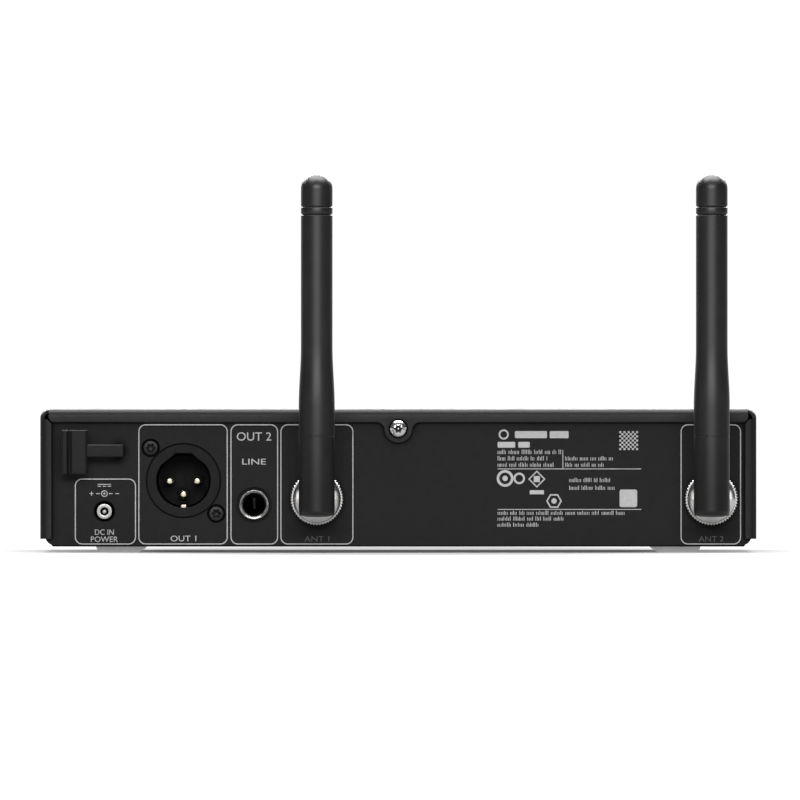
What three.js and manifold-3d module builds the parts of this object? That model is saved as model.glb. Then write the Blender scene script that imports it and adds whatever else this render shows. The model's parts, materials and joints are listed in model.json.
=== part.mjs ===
// A half-rack wireless receiver: folded steel case, moulded front with a jog dial, three buttons and a
// display, and a rear panel with a DC input, an XLR output, a 6.3 mm jack output and two bayonet antenna
// sockets that hold swivelling rod antennas.
//
// Units are millimetres and +Z is up. The front faces -Y and the rear panel faces +Y, so +X is on the left
// when the rear panel is looked at. Pieces are placed from the middle of the case's underside. The whole unit
// is then moved so that the origin is where the feet stand, below the middle of its overall length.
import * as THREE from "three";
import { mergeVertices } from "three/addons/utils/BufferGeometryUtils.js";
import Module from "manifold-3d";

const wasm = await Module();
wasm.setup();

// --------------------------------------------------------------------------------------------------------
// Driving dimensions
// --------------------------------------------------------------------------------------------------------

const HALF_WIDTH = 106;
const CASE_TOP = 40.5;
const FRONT_FACE = -87.5; // bezel's front face
const REAR_FACE = 87.5; // rear panel's outer face
const SHEET = 1; // steel thickness
const GAP = 0.1; // air between fixed neighbours

const COVER = {
  sideBottom: 2, // the side walls stop above the tray's bottom bend
  cornerRadius: 2.8,
  flange: 3.5, // width of the rear flanges at the sides
  flangeBottom: 36.4, // lower edge of the rear flange along the top
  tabRadius: 4.25, // tab that carries the cover screw
  tabFillet: 2.2,
  screwZ: 34.6,
};
const TRAY = { halfWidth: 104.6, wallTop: 14, bendRadius: 3, panelTop: 39.2 };
const BEZEL = { wall: 2.5, depth: 10.4, side: 2.8, cornerRadius: 3.2, lipDepth: 5 };

// Rear connectors: the centre of each on the rear panel.
const DC_INPUT = { x: 87, z: 10.1, holeRadius: 3.15 };
const XLR = { x: 63.6, z: 19.2, noseRadius: 10.8, cupRadius: 8, screwOffset: 9.72 };
const JACK = { x: 42.7, z: 12.1, bushRadius: 4.35, boreRadius: 3.2, holeRadius: 5.05 };
const ANTENNA_SOCKETS = { a: { x: 24.1, z: 13.9 }, b: { x: -92.6, z: 13.9 } };
const RELIEF = { x: 81.3, z: 28.05 }; // foot of the cable relief hook

// Antenna, measured from the centre of its socket on the rear panel.
const SOCKET = { barrelRadius: 4.8, boreRadius: 4.1, length: 10.5, studY: 5.7, studTip: 5.6 };
const RING = { start: 1.6, knurlEnd: 5.2, end: 12.4, knurlRadius: 7.95, flats: 36 };
const ANTENNA = {
  elbowY: 18.2,
  baseRadius: 5.33,
  rodRadius: 4.68,
  bottom: -5.4,
  parting: 18.2, // joint between the elbow base and the rod
  taperStart: 27.5,
  taperEnd: 45,
  grooves: [84, 86.3],
  domeStart: 92,
  top: 96,
  boreRadius: 3.3,
  boreTop: 82,
};

// Front controls: the centre of each on the bezel's front face.
const CONTROL_Z = 20.2;
const DISPLAY = { x: -2, width: 72, height: 28, openingWidth: 64, openingHeight: 22 };
const JOG = { x: 64, radius: 11, proud: 3.5, shaftRadius: 3 };
const BUTTONS = {
  escape: { x: 42, width: 11, height: 7, corner: 2 },
  sync: { x: -58, width: 14, height: 7, corner: 2 },
  power: { x: 92, width: 9, height: 9, corner: 4.4 },
};
const STATUS_LIGHTS = { x: -75, spread: 5, radius: 1.4 };
const PRESS = 0.5; // travel of the buttons and of the jog dial

const RACK_EAR_HOLES = { y: -66, lowerZ: 9, upperZ: 31, radius: 1.7 };
const FRONT_BOARD_Y = FRONT_FACE + 9.3;
const BOARD = 1.6; // circuit board thickness
const MAIN_BOARD_Z = 4.6;
const FEET = { x: 82.5, frontY: -68, rearY: 72, height: 2.05, radius: 7.1, soleRadius: 4.9 };

// --------------------------------------------------------------------------------------------------------
// Materials
// --------------------------------------------------------------------------------------------------------

function finish(color, roughness, metalness) {
  return new THREE.MeshStandardMaterial({ color, roughness, metalness });
}
const MATERIALS = {
  coatedSteel: finish(0x2b2b2c, 0.6, 0.2),
  bezelPlastic: finish(0x1e1e20, 0.55, 0),
  blackPlastic: finish(0x161617, 0.5, 0),
  windowPlastic: finish(0x08090b, 0.1, 0),
  displayPanel: finish(0x20282c, 0.3, 0),
  keyPlastic: finish(0x2a2a2d, 0.5, 0),
  lightPipe: finish(0xd8dde0, 0.2, 0),
  antennaRubber: finish(0x252526, 0.5, 0),
  footRubber: finish(0x9a9a98, 0.8, 0),
  nickel: finish(0xc9c9c6, 0.25, 1),
  gold: finish(0xd9c27a, 0.25, 1),
  copper: finish(0xb87333, 0.35, 1),
  blackSteel: finish(0x1a1a1a, 0.45, 0.6),
  insulator: finish(0xe6e4dd, 0.5, 0),
  board: finish(0x14452c, 0.45, 0),
  shield: finish(0xb4b6b8, 0.35, 1),
  cable: finish(0xd9d6cc, 0.6, 0),
};

// --------------------------------------------------------------------------------------------------------
// Shape helpers
// --------------------------------------------------------------------------------------------------------

// A closed geometry as a manifold-3d solid, turned the right way out if its faces point inwards.
function solid(geometry) {
  const bare = geometry.clone();
  bare.deleteAttribute("normal");
  bare.deleteAttribute("uv");
  const merged = mergeVertices(bare, 1e-4);
  const corners = merged.index.array;
  const kept = [];
  for (let i = 0; i < corners.length; i += 3) {
    const [a, b, c] = [corners[i], corners[i + 1], corners[i + 2]];
    if (a !== b && b !== c && c !== a) kept.push(a, b, c);
  }
  const vertProperties = merged.attributes.position.array;
  const build = (order) => {
    const triVerts = new Uint32Array(order);
    return new wasm.Manifold(new wasm.Mesh({ numProp: 3, vertProperties, triVerts }));
  };
  const made = build(kept);
  return made.volume() < 0 ? build(kept.reverse()) : made;
}

const join = (first, ...others) => others.reduce((sum, next) => sum.add(next), first);
const cut = (body, ...tools) => tools.reduce((rest, tool) => rest.subtract(tool), body);

function block([x0, x1], [y0, y1], [z0, z1]) {
  const box = new THREE.BoxGeometry(x1 - x0, y1 - y0, z1 - z0);
  return solid(box.translate((x0 + x1) / 2, (y0 + y1) / 2, (z0 + z1) / 2));
}

// Each plane's drawing directions: right, up, and the way an extrusion runs.
const PLANES = {
  xz: [new THREE.Vector3(1, 0, 0), new THREE.Vector3(0, 0, 1), new THREE.Vector3(0, -1, 0)],
  yz: [new THREE.Vector3(0, 1, 0), new THREE.Vector3(0, 0, 1), new THREE.Vector3(1, 0, 0)],
  xy: [new THREE.Vector3(1, 0, 0), new THREE.Vector3(0, 1, 0), new THREE.Vector3(0, 0, 1)],
};

// A shape drawn in one of the planes, as a slab between two distances along the plane's normal axis.
function slab(shape, plane, from, to, curveSegments = 4) {
  const [right, up, along] = PLANES[plane];
  const geometry = new THREE.ExtrudeGeometry(shape, { depth: to - from, bevelEnabled: false, curveSegments });
  geometry.applyMatrix4(new THREE.Matrix4().makeBasis(right, up, along));
  const start = along.y < 0 ? to : from;
  const axis = new THREE.Vector3(Math.abs(along.x), Math.abs(along.y), Math.abs(along.z));
  const offset = axis.multiplyScalar(start);
  return solid(geometry.translate(offset.x, offset.y, offset.z));
}

function polygon(points) {
  return new THREE.Shape(points.map(([u, v]) => new THREE.Vector2(u, v)));
}

function roundedRectangle(u0, u1, v0, v1, radius) {
  const shape = new THREE.Shape();
  shape.moveTo(u0 + radius, v0);
  shape.lineTo(u1 - radius, v0);
  shape.absarc(u1 - radius, v0 + radius, radius, -Math.PI / 2, 0);
  shape.absarc(u1 - radius, v1 - radius, radius, 0, Math.PI / 2);
  shape.absarc(u0 + radius, v1 - radius, radius, Math.PI / 2, Math.PI);
  shape.absarc(u0 + radius, v0 + radius, radius, Math.PI, 1.5 * Math.PI);
  return shape;
}

// A turned body about the Y axis, from [radius, y] pairs, centred on x and z.
function turned(profile, segments = 24, x = 0, z = 0) {
  const lathe = new THREE.LatheGeometry(profile.map(([r, y]) => new THREE.Vector2(r, y)), segments);
  return solid(lathe.translate(x, 0, z));
}

// The same about the Z axis, from [radius, z] pairs, centred on x and y.
function turnedUpright(profile, segments = 20, x = 0, y = 0) {
  const lathe = new THREE.LatheGeometry(profile.map(([r, z]) => new THREE.Vector2(r, z)), segments);
  return solid(lathe.rotateX(Math.PI / 2).translate(x, y, 0));
}

const pin = (radius, y0, y1, segments = 20, x = 0, z = 0) =>
  turned([[0, y0], [radius, y0], [radius, y1], [0, y1]], segments, x, z);

const post = (radius, z0, z1, segments = 12, x = 0, y = 0) =>
  turnedUpright([[0, z0], [radius, z0], [radius, z1], [0, z1]], segments, x, y);

const tube = (outer, inner, y0, y1, segments = 16) =>
  turned([[inner, y0], [outer, y0], [outer, y1], [inner, y1], [inner, y0]], segments);

// A six-lobed screw drive as a shape.
function sixLobe(radius, lobe = 0.16, steps = 24) {
  const points = [];
  for (let i = 0; i < steps; i++) {
    const angle = (i / steps) * 2 * Math.PI;
    const r = radius * (1 + lobe * Math.cos(6 * angle));
    points.push([r * Math.cos(angle), r * Math.sin(angle)]);
  }
  return polygon(points);
}

function addPiece(parent, name, body, material) {
  const { vertProperties, triVerts } = body.getMesh();
  const geometry = new THREE.BufferGeometry();
  geometry.setAttribute("position", new THREE.BufferAttribute(new Float32Array(vertProperties), 3));
  geometry.setIndex(new THREE.BufferAttribute(new Uint32Array(triVerts), 1));
  geometry.computeVertexNormals();
  const mesh = new THREE.Mesh(geometry, material);
  mesh.name = name;
  parent.add(mesh);
}

function addGroup(parent, x, y, z) {
  const group = new THREE.Group();
  group.position.set(x, y, z);
  parent.add(group);
  return group;
}

// --------------------------------------------------------------------------------------------------------
// Case
// --------------------------------------------------------------------------------------------------------

// The outline of the cover seen from the rear: open at the bottom, with rounded top corners.
function coverOutline(inset) {
  const edge = HALF_WIDTH - inset;
  const top = CASE_TOP - inset;
  const radius = COVER.cornerRadius - inset;
  const bottom = inset > 0 ? COVER.sideBottom - 1 : COVER.sideBottom;
  const shape = new THREE.Shape();
  shape.moveTo(-edge, bottom);
  shape.lineTo(edge, bottom);
  shape.lineTo(edge, top - radius);
  shape.absarc(edge - radius, top - radius, radius, 0, Math.PI / 2);
  shape.lineTo(-edge + radius, top);
  shape.absarc(-edge + radius, top - radius, radius, Math.PI / 2, Math.PI);
  return shape;
}

// The opening that the rear flanges frame, with the screw tab hanging into it from above.
function coverWindow() {
  const { tabRadius, tabFillet, flangeBottom, screwZ } = COVER;
  const edge = HALF_WIDTH - COVER.flange;
  const filletZ = flangeBottom - tabFillet;
  const filletX = Math.sqrt((tabRadius + tabFillet) ** 2 - (filletZ - screwZ) ** 2);
  const tilt = Math.atan2(screwZ - filletZ, filletX);
  const shape = new THREE.Shape();
  shape.moveTo(-edge, 0);
  shape.lineTo(edge, 0);
  shape.lineTo(edge, flangeBottom);
  shape.lineTo(filletX, flangeBottom);
  shape.absarc(filletX, filletZ, tabFillet, Math.PI / 2, Math.PI - tilt, false);
  shape.absarc(0, screwZ, tabRadius, -tilt, Math.PI + tilt, true);
  shape.absarc(-filletX, filletZ, tabFillet, tilt, Math.PI / 2, false);
  shape.lineTo(-edge, flangeBottom);
  return shape;
}

// The notch and mitre slit that let the cover's top and side flanges fold without meeting.
function cornerRelief(side) {
  const u = (inward) => side * (HALF_WIDTH - inward);
  return polygon([
    [u(-1), 37.3],
    [u(2.2), 37.3],
    [u(3.6), 35.9],
    [u(4.3), 36.3],
    [u(2.6), 38],
    [u(2.6), 42],
    [u(-1), 42],
  ]);
}

function topCover() {
  const start = FRONT_FACE + BEZEL.depth + GAP;
  const flangeInner = REAR_FACE + GAP;
  const flangeOuter = flangeInner + SHEET;
  const hull = slab(coverOutline(0), "xz", start, flangeOuter);
  const inside = slab(coverOutline(SHEET), "xz", start - 1, flangeInner);
  const window = slab(coverWindow(), "xz", flangeInner - 1, flangeOuter + 1, 8);
  const reliefs = [-1, 1].map((side) => slab(cornerRelief(side), "xz", flangeInner, flangeOuter + 1));
  const screwHole = pin(1.6, flangeInner - 1, flangeOuter + 1, 16, 0, COVER.screwZ);
  return cut(hull, inside, window, ...reliefs, screwHole, ...rackEarHoles());
}

// Two holes in each side wall, near the front, where a rack ear is screwed on.
function rackEarHoles() {
  const { y, lowerZ, upperZ, radius } = RACK_EAR_HOLES;
  return [lowerZ, upperZ].map((z) => {
    const circle = new THREE.Shape().absarc(y, z, radius, 0, 2 * Math.PI);
    return slab(circle, "yz", -HALF_WIDTH - 1, HALF_WIDTH + 1, 6);
  });
}

// The rear panel's outline, with its lower corners cut back from the tray's side bends.
function rearPanelOutline() {
  const edge = TRAY.halfWidth - 0.2;
  const lower = HALF_WIDTH - COVER.flange;
  return polygon([
    [-lower, 0],
    [lower, 0],
    [edge, COVER.sideBottom],
    [edge, 36.6],
    [lower - 0.6, TRAY.panelTop],
    [-lower + 0.6, TRAY.panelTop],
    [-edge, 36.6],
    [-edge, COVER.sideBottom],
  ]);
}

function rearPanelHoles() {
  const from = REAR_FACE - SHEET - 1;
  const to = REAR_FACE + 1;
  const hole = (radius, x, z, segments = 24) => pin(radius, from, to, segments, x, z);
  const holes = [
    hole(XLR.noseRadius + 0.2, XLR.x, XLR.z, 32),
    hole(JACK.holeRadius, JACK.x, JACK.z),
    hole(DC_INPUT.holeRadius, DC_INPUT.x, DC_INPUT.z),
    hole(1.25, 0, COVER.screwZ, 16),
    hole(1.4, RELIEF.x + 1.35, RELIEF.z, 12),
  ];
  for (const socket of Object.values(ANTENNA_SOCKETS)) {
    holes.push(hole(SOCKET.barrelRadius + 0.2, socket.x, socket.z));
  }
  for (const side of [-1, 1]) {
    const offset = side * XLR.screwOffset;
    const countersink = [[0, from], [0.9, from], [3.4, to], [0, to]];
    holes.push(turned(countersink, 20, XLR.x + offset, XLR.z + offset));
  }
  return holes;
}

function chassisTray() {
  const start = FRONT_FACE + BEZEL.depth + GAP;
  const { halfWidth, wallTop, bendRadius } = TRAY;
  const inner = halfWidth - SHEET;
  const section = (edge, bottom, top, radius) => {
    const shape = new THREE.Shape();
    shape.moveTo(-edge + radius, bottom);
    shape.lineTo(edge - radius, bottom);
    shape.absarc(edge - radius, bottom + radius, radius, -Math.PI / 2, 0);
    shape.lineTo(edge, top);
    shape.lineTo(-edge, top);
    shape.absarc(-edge + radius, bottom + radius, radius, Math.PI, 1.5 * Math.PI);
    return shape;
  };
  const shell = slab(section(halfWidth, 0, wallTop, bendRadius), "xz", start, REAR_FACE - SHEET);
  const hollow = slab(section(inner, SHEET, wallTop + 1, bendRadius - SHEET), "xz", start - 1, REAR_FACE);
  const plate = slab(rearPanelOutline(), "xz", REAR_FACE - SHEET - 0.001, REAR_FACE);
  const panel = cut(plate, ...rearPanelHoles());
  const standoffs = [];
  for (const x of [-85, 85]) {
    for (const y of [-45, 60]) standoffs.push(post(3, SHEET - 0.5, MAIN_BOARD_Z - GAP, 12, x, y));
  }
  return join(cut(shell, hollow, ...rackEarHoles()), panel, ...standoffs);
}

function foot() {
  const { radius, soleRadius, height } = FEET;
  const profile = [[0, -height], [soleRadius, -height]];
  const steps = 3;
  for (let i = 1; i <= steps; i++) {
    const angle = (i / steps) * (Math.PI / 2);
    profile.push([soleRadius + (radius - soleRadius) * Math.sin(angle), -height * Math.cos(angle) - 0.05]);
  }
  profile.push([0, -0.05]);
  return turnedUpright(profile, 20);
}

// A pan-head screw with a combined six-lobe and slot drive, its seat at y = 0.
function coverScrew() {
  const shank = [[0, -6.5], [1.2, -6.5], [1.2, 0]];
  const panHead = [[2.5, 0], [2.5, 0.9], [2.2, 1.35], [1.4, 1.6], [0, 1.6]];
  const head = turned([...shank, ...panHead], 20);
  const drive = slab(sixLobe(1.1), "xz", 0.7, 2);
  const slot = block([-3, 3], [1.15, 2], [-0.35, 0.35]);
  return cut(head, drive, slot);
}

// A countersunk screw whose head is flush with the panel at y = 0.
function countersunkScrew() {
  const head = turned([[0, -7.5], [1.15, -7.5], [1.15, -1.1], [2.2, 0], [0, 0]], 20);
  return cut(head, slab(sixLobe(1.1), "xz", -0.9, 1));
}

// The hook that the supply cable is looped round, drawn from the panel's face at its foot.
function cableRelief() {
  const reach = 7.6;
  const leg = block([0, 2.7], [GAP, reach], [-1.85, 1.85]);
  const bar = block([0, 11], [reach - 2.5, reach], [-1.85, 1.85]);
  const headSection = polygon([
    [10.5, reach - 2.5],
    [18.4, reach - 2.5],
    [18.4, reach + 1.6],
    [17.7, reach + 1.6],
    [16.1, reach + 0.3],
    [10.8, reach + 0.3],
    [10.5, reach],
  ]);
  const head = slab(headSection, "xy", -6.95, 6.15);
  return join(leg, bar, head, pin(1.2, -2.2, 0.5, 16, 1.35, 0));
}

// --------------------------------------------------------------------------------------------------------
// Rear connectors, each drawn with its centre on the panel's face and +Y out of the case
// --------------------------------------------------------------------------------------------------------

const XLR_PINS = { "1": [4.1, 0], "2": [-4.1, 0], "3": [0, -4] };

function xlrShell() {
  const { noseRadius, cupRadius, screwOffset } = XLR;
  const back = -SHEET - GAP;
  const flange = slab(roundedRectangle(-12.7, 12.7, -12.7, 12.7, 2.2), "xz", back - 1.5, back, 2);
  const nose = pin(noseRadius, back - 1.5, 0, 32);
  const barrel = pin(10.2, -20, back - 1, 32);
  const bosses = [-1, 1].map((side) => pin(2.4, -7, back - 1, 12, side * screwOffset, side * screwOffset));
  const screwHoles = [-1, 1].map((side) => pin(1.25, -9, 1, 12, side * screwOffset, side * screwOffset));
  const cup = pin(cupRadius, -21, 1, 32);
  const keyway = block([-2.95, 2.95], [-12, 1], [cupRadius - 1, cupRadius + 0.6]);
  const tabSlot = block([-1.05, 1.05], [-21, -3.8], [-cupRadius - 1, -cupRadius + 1]);
  return cut(join(flange, nose, barrel, ...bosses), cup, keyway, tabSlot, ...screwHoles);
}

function xlrInsert() {
  const disc = pin(XLR.cupRadius - 0.2, -19.5, -14.5, 32);
  const holes = Object.values(XLR_PINS).map(([x, z]) => pin(1.27, -20, -14, 12, x, z));
  const tabSlot = block([-1.05, 1.05], [-20, -14], [-10, -6.8]);
  return cut(disc, ...holes, tabSlot);
}

function xlrPin() {
  const tail = [[0, -22], [0.8, -22], [0.8, -19.5]];
  const contact = [[1.17, -19.5], [1.17, -3], [0.85, -2.2], [0, -2]];
  return turned([...tail, ...contact], 12);
}

const xlrEarthTab = () => block([-0.85, 0.85], [-20, -4], [-8.8, -7.05]);

function jackBody() {
  const body = block([-7.5, 7.5], [-30, -SHEET - GAP], [-5.6, 6]);
  return cut(body, pin(JACK.bushRadius + 0.2, -9.2, 0, 24), pin(3.3, -28, -9, 24));
}

function jackBush() {
  const { bushRadius, boreRadius } = JACK;
  const profile = [[boreRadius, -9], [bushRadius, -9], [bushRadius, 0.3], [bushRadius - 0.4, 0.7]];
  profile.push([boreRadius + 0.4, 0.7], [boreRadius, 0.2], [boreRadius, -9]);
  return turned(profile, 24);
}

// The blade that touches the plug's tip, a bent strip standing across the bore.
function jackTipSpring() {
  const section = polygon([[-27.8, 1.4], [-19, 1.4], [-20.6, -1.2], [-20, -1.2], [-18.2, 2], [-27.8, 2]]);
  return slab(section, "yz", -0.3, 0.3);
}

function dcBody() {
  const body = block([-4.5, 4.5], [-14, -SHEET - GAP], [-3.6, 4.2]);
  return cut(body, pin(2.95, -12, 0, 20));
}

const dcSleeve = () => tube(2.28, 1.2, -11.9, -0.8);

const dcPin = () => turned([[0, -11.9], [0.83, -11.9], [0.83, -1.1], [0.55, -0.8], [0, -0.8]], 12);

function antennaSocket() {
  const { barrelRadius, boreRadius, length, studY, studTip } = SOCKET;
  const body = block([-6.5, 6.5], [-14, -SHEET - GAP], [-7.4, 6.5]);
  const barrel = pin(barrelRadius, -SHEET - GAP - 0.5, length, 24);
  const stud = slab(new THREE.Shape().absarc(studY, 0, 1, 0, 2 * Math.PI), "yz", -studTip, studTip, 2);
  const bore = pin(boreRadius, 1, length + 1, 24);
  return cut(join(body, barrel, stud), bore, pin(2.45, -15, 2, 16));
}

const socketInsulator = () => tube(2.3, 1.2, -13.5, 8.5);

const socketContact = () =>
  turned([[0, -16], [1.1, -16], [1.1, 8.2], [0.78, 8.2], [0.78, 1], [0, 1]], 12);

// --------------------------------------------------------------------------------------------------------
// Antenna, drawn with the centre of its socket on the panel's face at the origin
// --------------------------------------------------------------------------------------------------------

// The channel inside the coupling ring that one socket stud runs in, and the slot that lets it in.
function bayonetTrack(turn) {
  const inner = SOCKET.barrelRadius + 0.1;
  const outer = SOCKET.studTip + 0.2;
  const [from, to] = [turn - THREE.MathUtils.degToRad(14), turn + THREE.MathUtils.degToRad(104)];
  const sector = new THREE.Shape();
  sector.absarc(0, 0, outer, from, to, false);
  sector.absarc(0, 0, inner, to, from, true);
  const track = slab(sector, "xz", SOCKET.studY - 1.25, SOCKET.studY + 1.25, 10);
  const sign = Math.sign(Math.sin(turn + Math.PI / 2));
  const slotZ = [sign * 4, sign * outer].sort((a, b) => a - b);
  const slot = block([-1.25, 1.25], [RING.start - 1, SOCKET.studY], slotZ);
  return join(track, slot);
}

function couplingRing() {
  const { start, knurlEnd, end, knurlRadius, flats } = RING;
  const grip = pin(knurlRadius, start, knurlEnd, flats);
  const domeSide = [[7, start], [7, 5.7], [7.15, 6], [6.9, 8.2], [6.3, 10.4], [5.5, end]];
  const domeProfile = [[0, start], ...domeSide, [0, end]];
  const bore = pin(SOCKET.barrelRadius + 0.2, start - 1, end - 0.8, 24);
  const neck = pin(3.8, start, end + 1, 24);
  return cut(join(grip, turned(domeProfile)), bore, neck, bayonetTrack(0), bayonetTrack(Math.PI));
}

function antennaPlug() {
  const shoulder = SOCKET.length + 0.2;
  const profile = [[0, 3.6], [3.9, 3.6], [3.9, shoulder], [4.7, shoulder], [4.7, shoulder + 0.7]];
  profile.push([3.6, shoulder + 0.7], [3.6, 15], [0, 15]);
  return cut(turned(profile, 20), pin(3.2, 3, shoulder - 0.8, 20), pin(1.3, 3, 16, 12));
}

const antennaPin = () => turned([[0, 4], [0.4, 4], [0.65, 4.6], [0.65, 17.2], [0, 17.2]], 10);

function antennaBase() {
  const { elbowY, baseRadius, bottom, parting } = ANTENNA;
  const spigot = parting + 5.5;
  const profile = [[0, bottom], [baseRadius - 1.2, bottom], [baseRadius - 0.35, bottom + 0.35]];
  profile.push([baseRadius, bottom + 1.2], [baseRadius, parting], [3.1, parting], [3.1, spigot], [0, spigot]);
  const body = turnedUpright(profile, 20, 0, elbowY);
  const wireBore = post(1.3, -0.5, spigot + 1, 12, 0, elbowY);
  return cut(body, wireBore, pin(3.75, 10, 15.2, 20), pin(1.3, 10, elbowY, 12));
}

function antennaRod() {
  const { elbowY, baseRadius, rodRadius, parting, taperStart, taperEnd, grooves } = ANTENNA;
  const { domeStart, top, boreRadius, boreTop } = ANTENNA;
  const start = parting + 0.3;
  const profile = [[boreRadius, start], [baseRadius, start], [baseRadius, taperStart]];
  const steps = 3;
  for (let i = 1; i <= steps; i++) {
    const share = i / steps;
    const ease = share * share * (3 - 2 * share);
    const radius = baseRadius + (rodRadius - baseRadius) * ease;
    profile.push([radius, taperStart + (taperEnd - taperStart) * share]);
  }
  for (const z of grooves) profile.push([rodRadius, z - 0.5], [rodRadius - 0.4, z], [rodRadius, z + 0.5]);
  profile.push([rodRadius, domeStart]);
  const domeSteps = 4;
  for (let i = 1; i <= domeSteps; i++) {
    const angle = (i / domeSteps) * (Math.PI / 2);
    profile.push([rodRadius * Math.cos(angle) ** 0.9, domeStart + (top - domeStart) * Math.sin(angle)]);
  }
  profile[profile.length - 1][0] = 0;
  profile.push([0, boreTop], [boreRadius, boreTop], [boreRadius, start]);
  return turnedUpright(profile, 20, 0, elbowY);
}

// The radiating wire: a straight lead, then a coil up the rod.
class RadiatorPath extends THREE.Curve {
  constructor() {
    super();
    this.leadStart = 0.8;
    this.coilStart = 26;
    this.coilEnd = 80;
    this.coilRadius = 2.2;
    this.turns = 8;
    this.leadShare = 0.12;
  }

  getPoint(t, target = new THREE.Vector3()) {
    if (t < this.leadShare) {
      const share = t / this.leadShare;
      return target.set(0, ANTENNA.elbowY, this.leadStart + share * (this.coilStart - this.leadStart));
    }
    const share = (t - this.leadShare) / (1 - this.leadShare);
    const spread = this.coilRadius * Math.min(1, share * this.turns * 2);
    const angle = share * this.turns * 2 * Math.PI;
    const z = this.coilStart + share * (this.coilEnd - this.coilStart);
    return target.set(spread * Math.sin(angle), ANTENNA.elbowY + spread * Math.cos(angle), z);
  }
}

function radiator() {
  const wire = new THREE.Shape();
  const sides = 4;
  for (let i = 0; i < sides; i++) {
    const angle = (i / sides) * 2 * Math.PI;
    const [u, v] = [0.4 * Math.cos(angle), 0.4 * Math.sin(angle)];
    if (i) wire.lineTo(u, v);
    else wire.moveTo(u, v);
  }
  return solid(new THREE.ExtrudeGeometry(wire, { steps: 64, extrudePath: new RadiatorPath() }));
}

// --------------------------------------------------------------------------------------------------------
// Front, drawn with x and z in the object's frame and y = 0 on the bezel's front face, growing into the case
// --------------------------------------------------------------------------------------------------------

const displayRectangle = (width, height, corner) =>
  roundedRectangle(
    DISPLAY.x - width / 2,
    DISPLAY.x + width / 2,
    CONTROL_Z - height / 2,
    CONTROL_Z + height / 2,
    corner,
  );

function buttonOutline({ x, width, height, corner }, margin) {
  const [w, h] = [width / 2 + margin, height / 2 + margin];
  return roundedRectangle(x - w, x + w, CONTROL_Z - h, CONTROL_Z + h, corner + margin);
}

function frontBezel() {
  const { wall, depth, side, cornerRadius, lipDepth } = BEZEL;
  const rim = (inset, radius) =>
    roundedRectangle(-HALF_WIDTH + inset, HALF_WIDTH - inset, inset, CASE_TOP - inset, radius);
  const shell = slab(rim(0, cornerRadius), "xz", 0, depth);
  const tongue = (bottom) => block([-98, 98], [depth - 0.5, depth + lipDepth], [bottom, bottom + 1.6]);
  const tongues = [tongue(1.3), tongue(CASE_TOP - 1.3 - 1.6)];
  const hollow = slab(rim(side, 1.5), "xz", wall, depth + lipDepth + 1, 3);
  const recess = slab(displayRectangle(DISPLAY.width, DISPLAY.height, 2), "xz", -1, 1.35, 4);
  const viewedArea = displayRectangle(DISPLAY.openingWidth, DISPLAY.openingHeight, 1);
  const opening = slab(viewedArea, "xz", 0, wall + 1, 3);
  const buttonHoles = Object.values(BUTTONS).map((key) =>
    slab(buttonOutline(key, 0.25), "xz", -1, wall + 1, 4),
  );
  const shaftHole = pin(JOG.shaftRadius + 0.6, -1, wall + 1, 20, JOG.x, CONTROL_Z);
  const lightHoles = [-1, 1].map((sign) => {
    const height = CONTROL_Z + sign * STATUS_LIGHTS.spread;
    return pin(STATUS_LIGHTS.radius + 0.15, -1, wall + 1, 12, STATUS_LIGHTS.x, height);
  });
  return cut(
    join(shell, ...tongues),
    hollow,
    recess,
    opening,
    shaftHole,
    ...buttonHoles,
    ...lightHoles,
  );
}

const displayWindow = () =>
  slab(displayRectangle(DISPLAY.width - 0.3, DISPLAY.height - 0.3, 1.9), "xz", 0.05, 1.25, 4);

const displayModule = () =>
  block([DISPLAY.x - 35, DISPLAY.x + 35], [BEZEL.wall + 0.2, 9.2], [CONTROL_Z - 13, CONTROL_Z + 13]);

function statusLightPipe() {
  const { x, spread, radius } = STATUS_LIGHTS;
  const heads = [-1, 1].map((sign) => pin(radius, 0, 4, 12, x, CONTROL_Z + sign * spread));
  const upright = [CONTROL_Z - spread - 2, CONTROL_Z + spread + 2];
  const bar = block([x - 1.8, x + 1.8], [BEZEL.wall + 0.2, 9.1], upright);
  return join(bar, ...heads);
}

// A key cap that stands proud of the bezel, with a flange behind the wall and a stem into its switch.
function button(key) {
  const cap = slab(buttonOutline(key, 0), "xz", -PRESS - GAP, 3.6);
  const flange = slab(buttonOutline(key, 1), "xz", BEZEL.wall + 0.3, 3.6);
  return join(cap, flange, pin(1.2, 3.2, 7, 12, key.x, CONTROL_Z));
}

function keySwitch(key) {
  const body = block([key.x - 3, key.x + 3], [5.7, 9.2], [CONTROL_Z - 3, CONTROL_Z + 3]);
  return cut(body, pin(1.5, 5, 8.2, 12, key.x, CONTROL_Z));
}

// The dial, with a dished face, drawn about its own axis.
function jogDial() {
  const { radius, proud, shaftRadius } = JOG;
  const back = -PRESS - GAP;
  const rim = [[radius - 0.4, back], [radius, back - 0.4], [radius, 0.5 - proud], [radius - 0.5, -proud]];
  const dish = [[radius - 2, -proud], [radius - 3, 0.4 - proud], [0, 0.6 - proud]];
  const profile = [[0, back], ...rim, ...dish];
  return cut(turned(profile, 32), pin(shaftRadius + GAP, -2.1, 0, 20));
}

const jogShaft = () => pin(JOG.shaftRadius, -2, 6.5, 20);

function encoderBody() {
  const body = block([-6, 6], [3, 9.2], [-6, 6]);
  return cut(body, pin(JOG.shaftRadius + 0.2, 2, 7.2, 20), pin(1.6, 7, 10, 12));
}

const jogPlunger = () => pin(1.4, 6.6, 8.6, 12);

// --------------------------------------------------------------------------------------------------------
// Inside
// --------------------------------------------------------------------------------------------------------

const frontBoard = () => block([-101, 101], [FRONT_BOARD_Y, FRONT_BOARD_Y + BOARD], [3.2, 37.2]);

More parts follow.
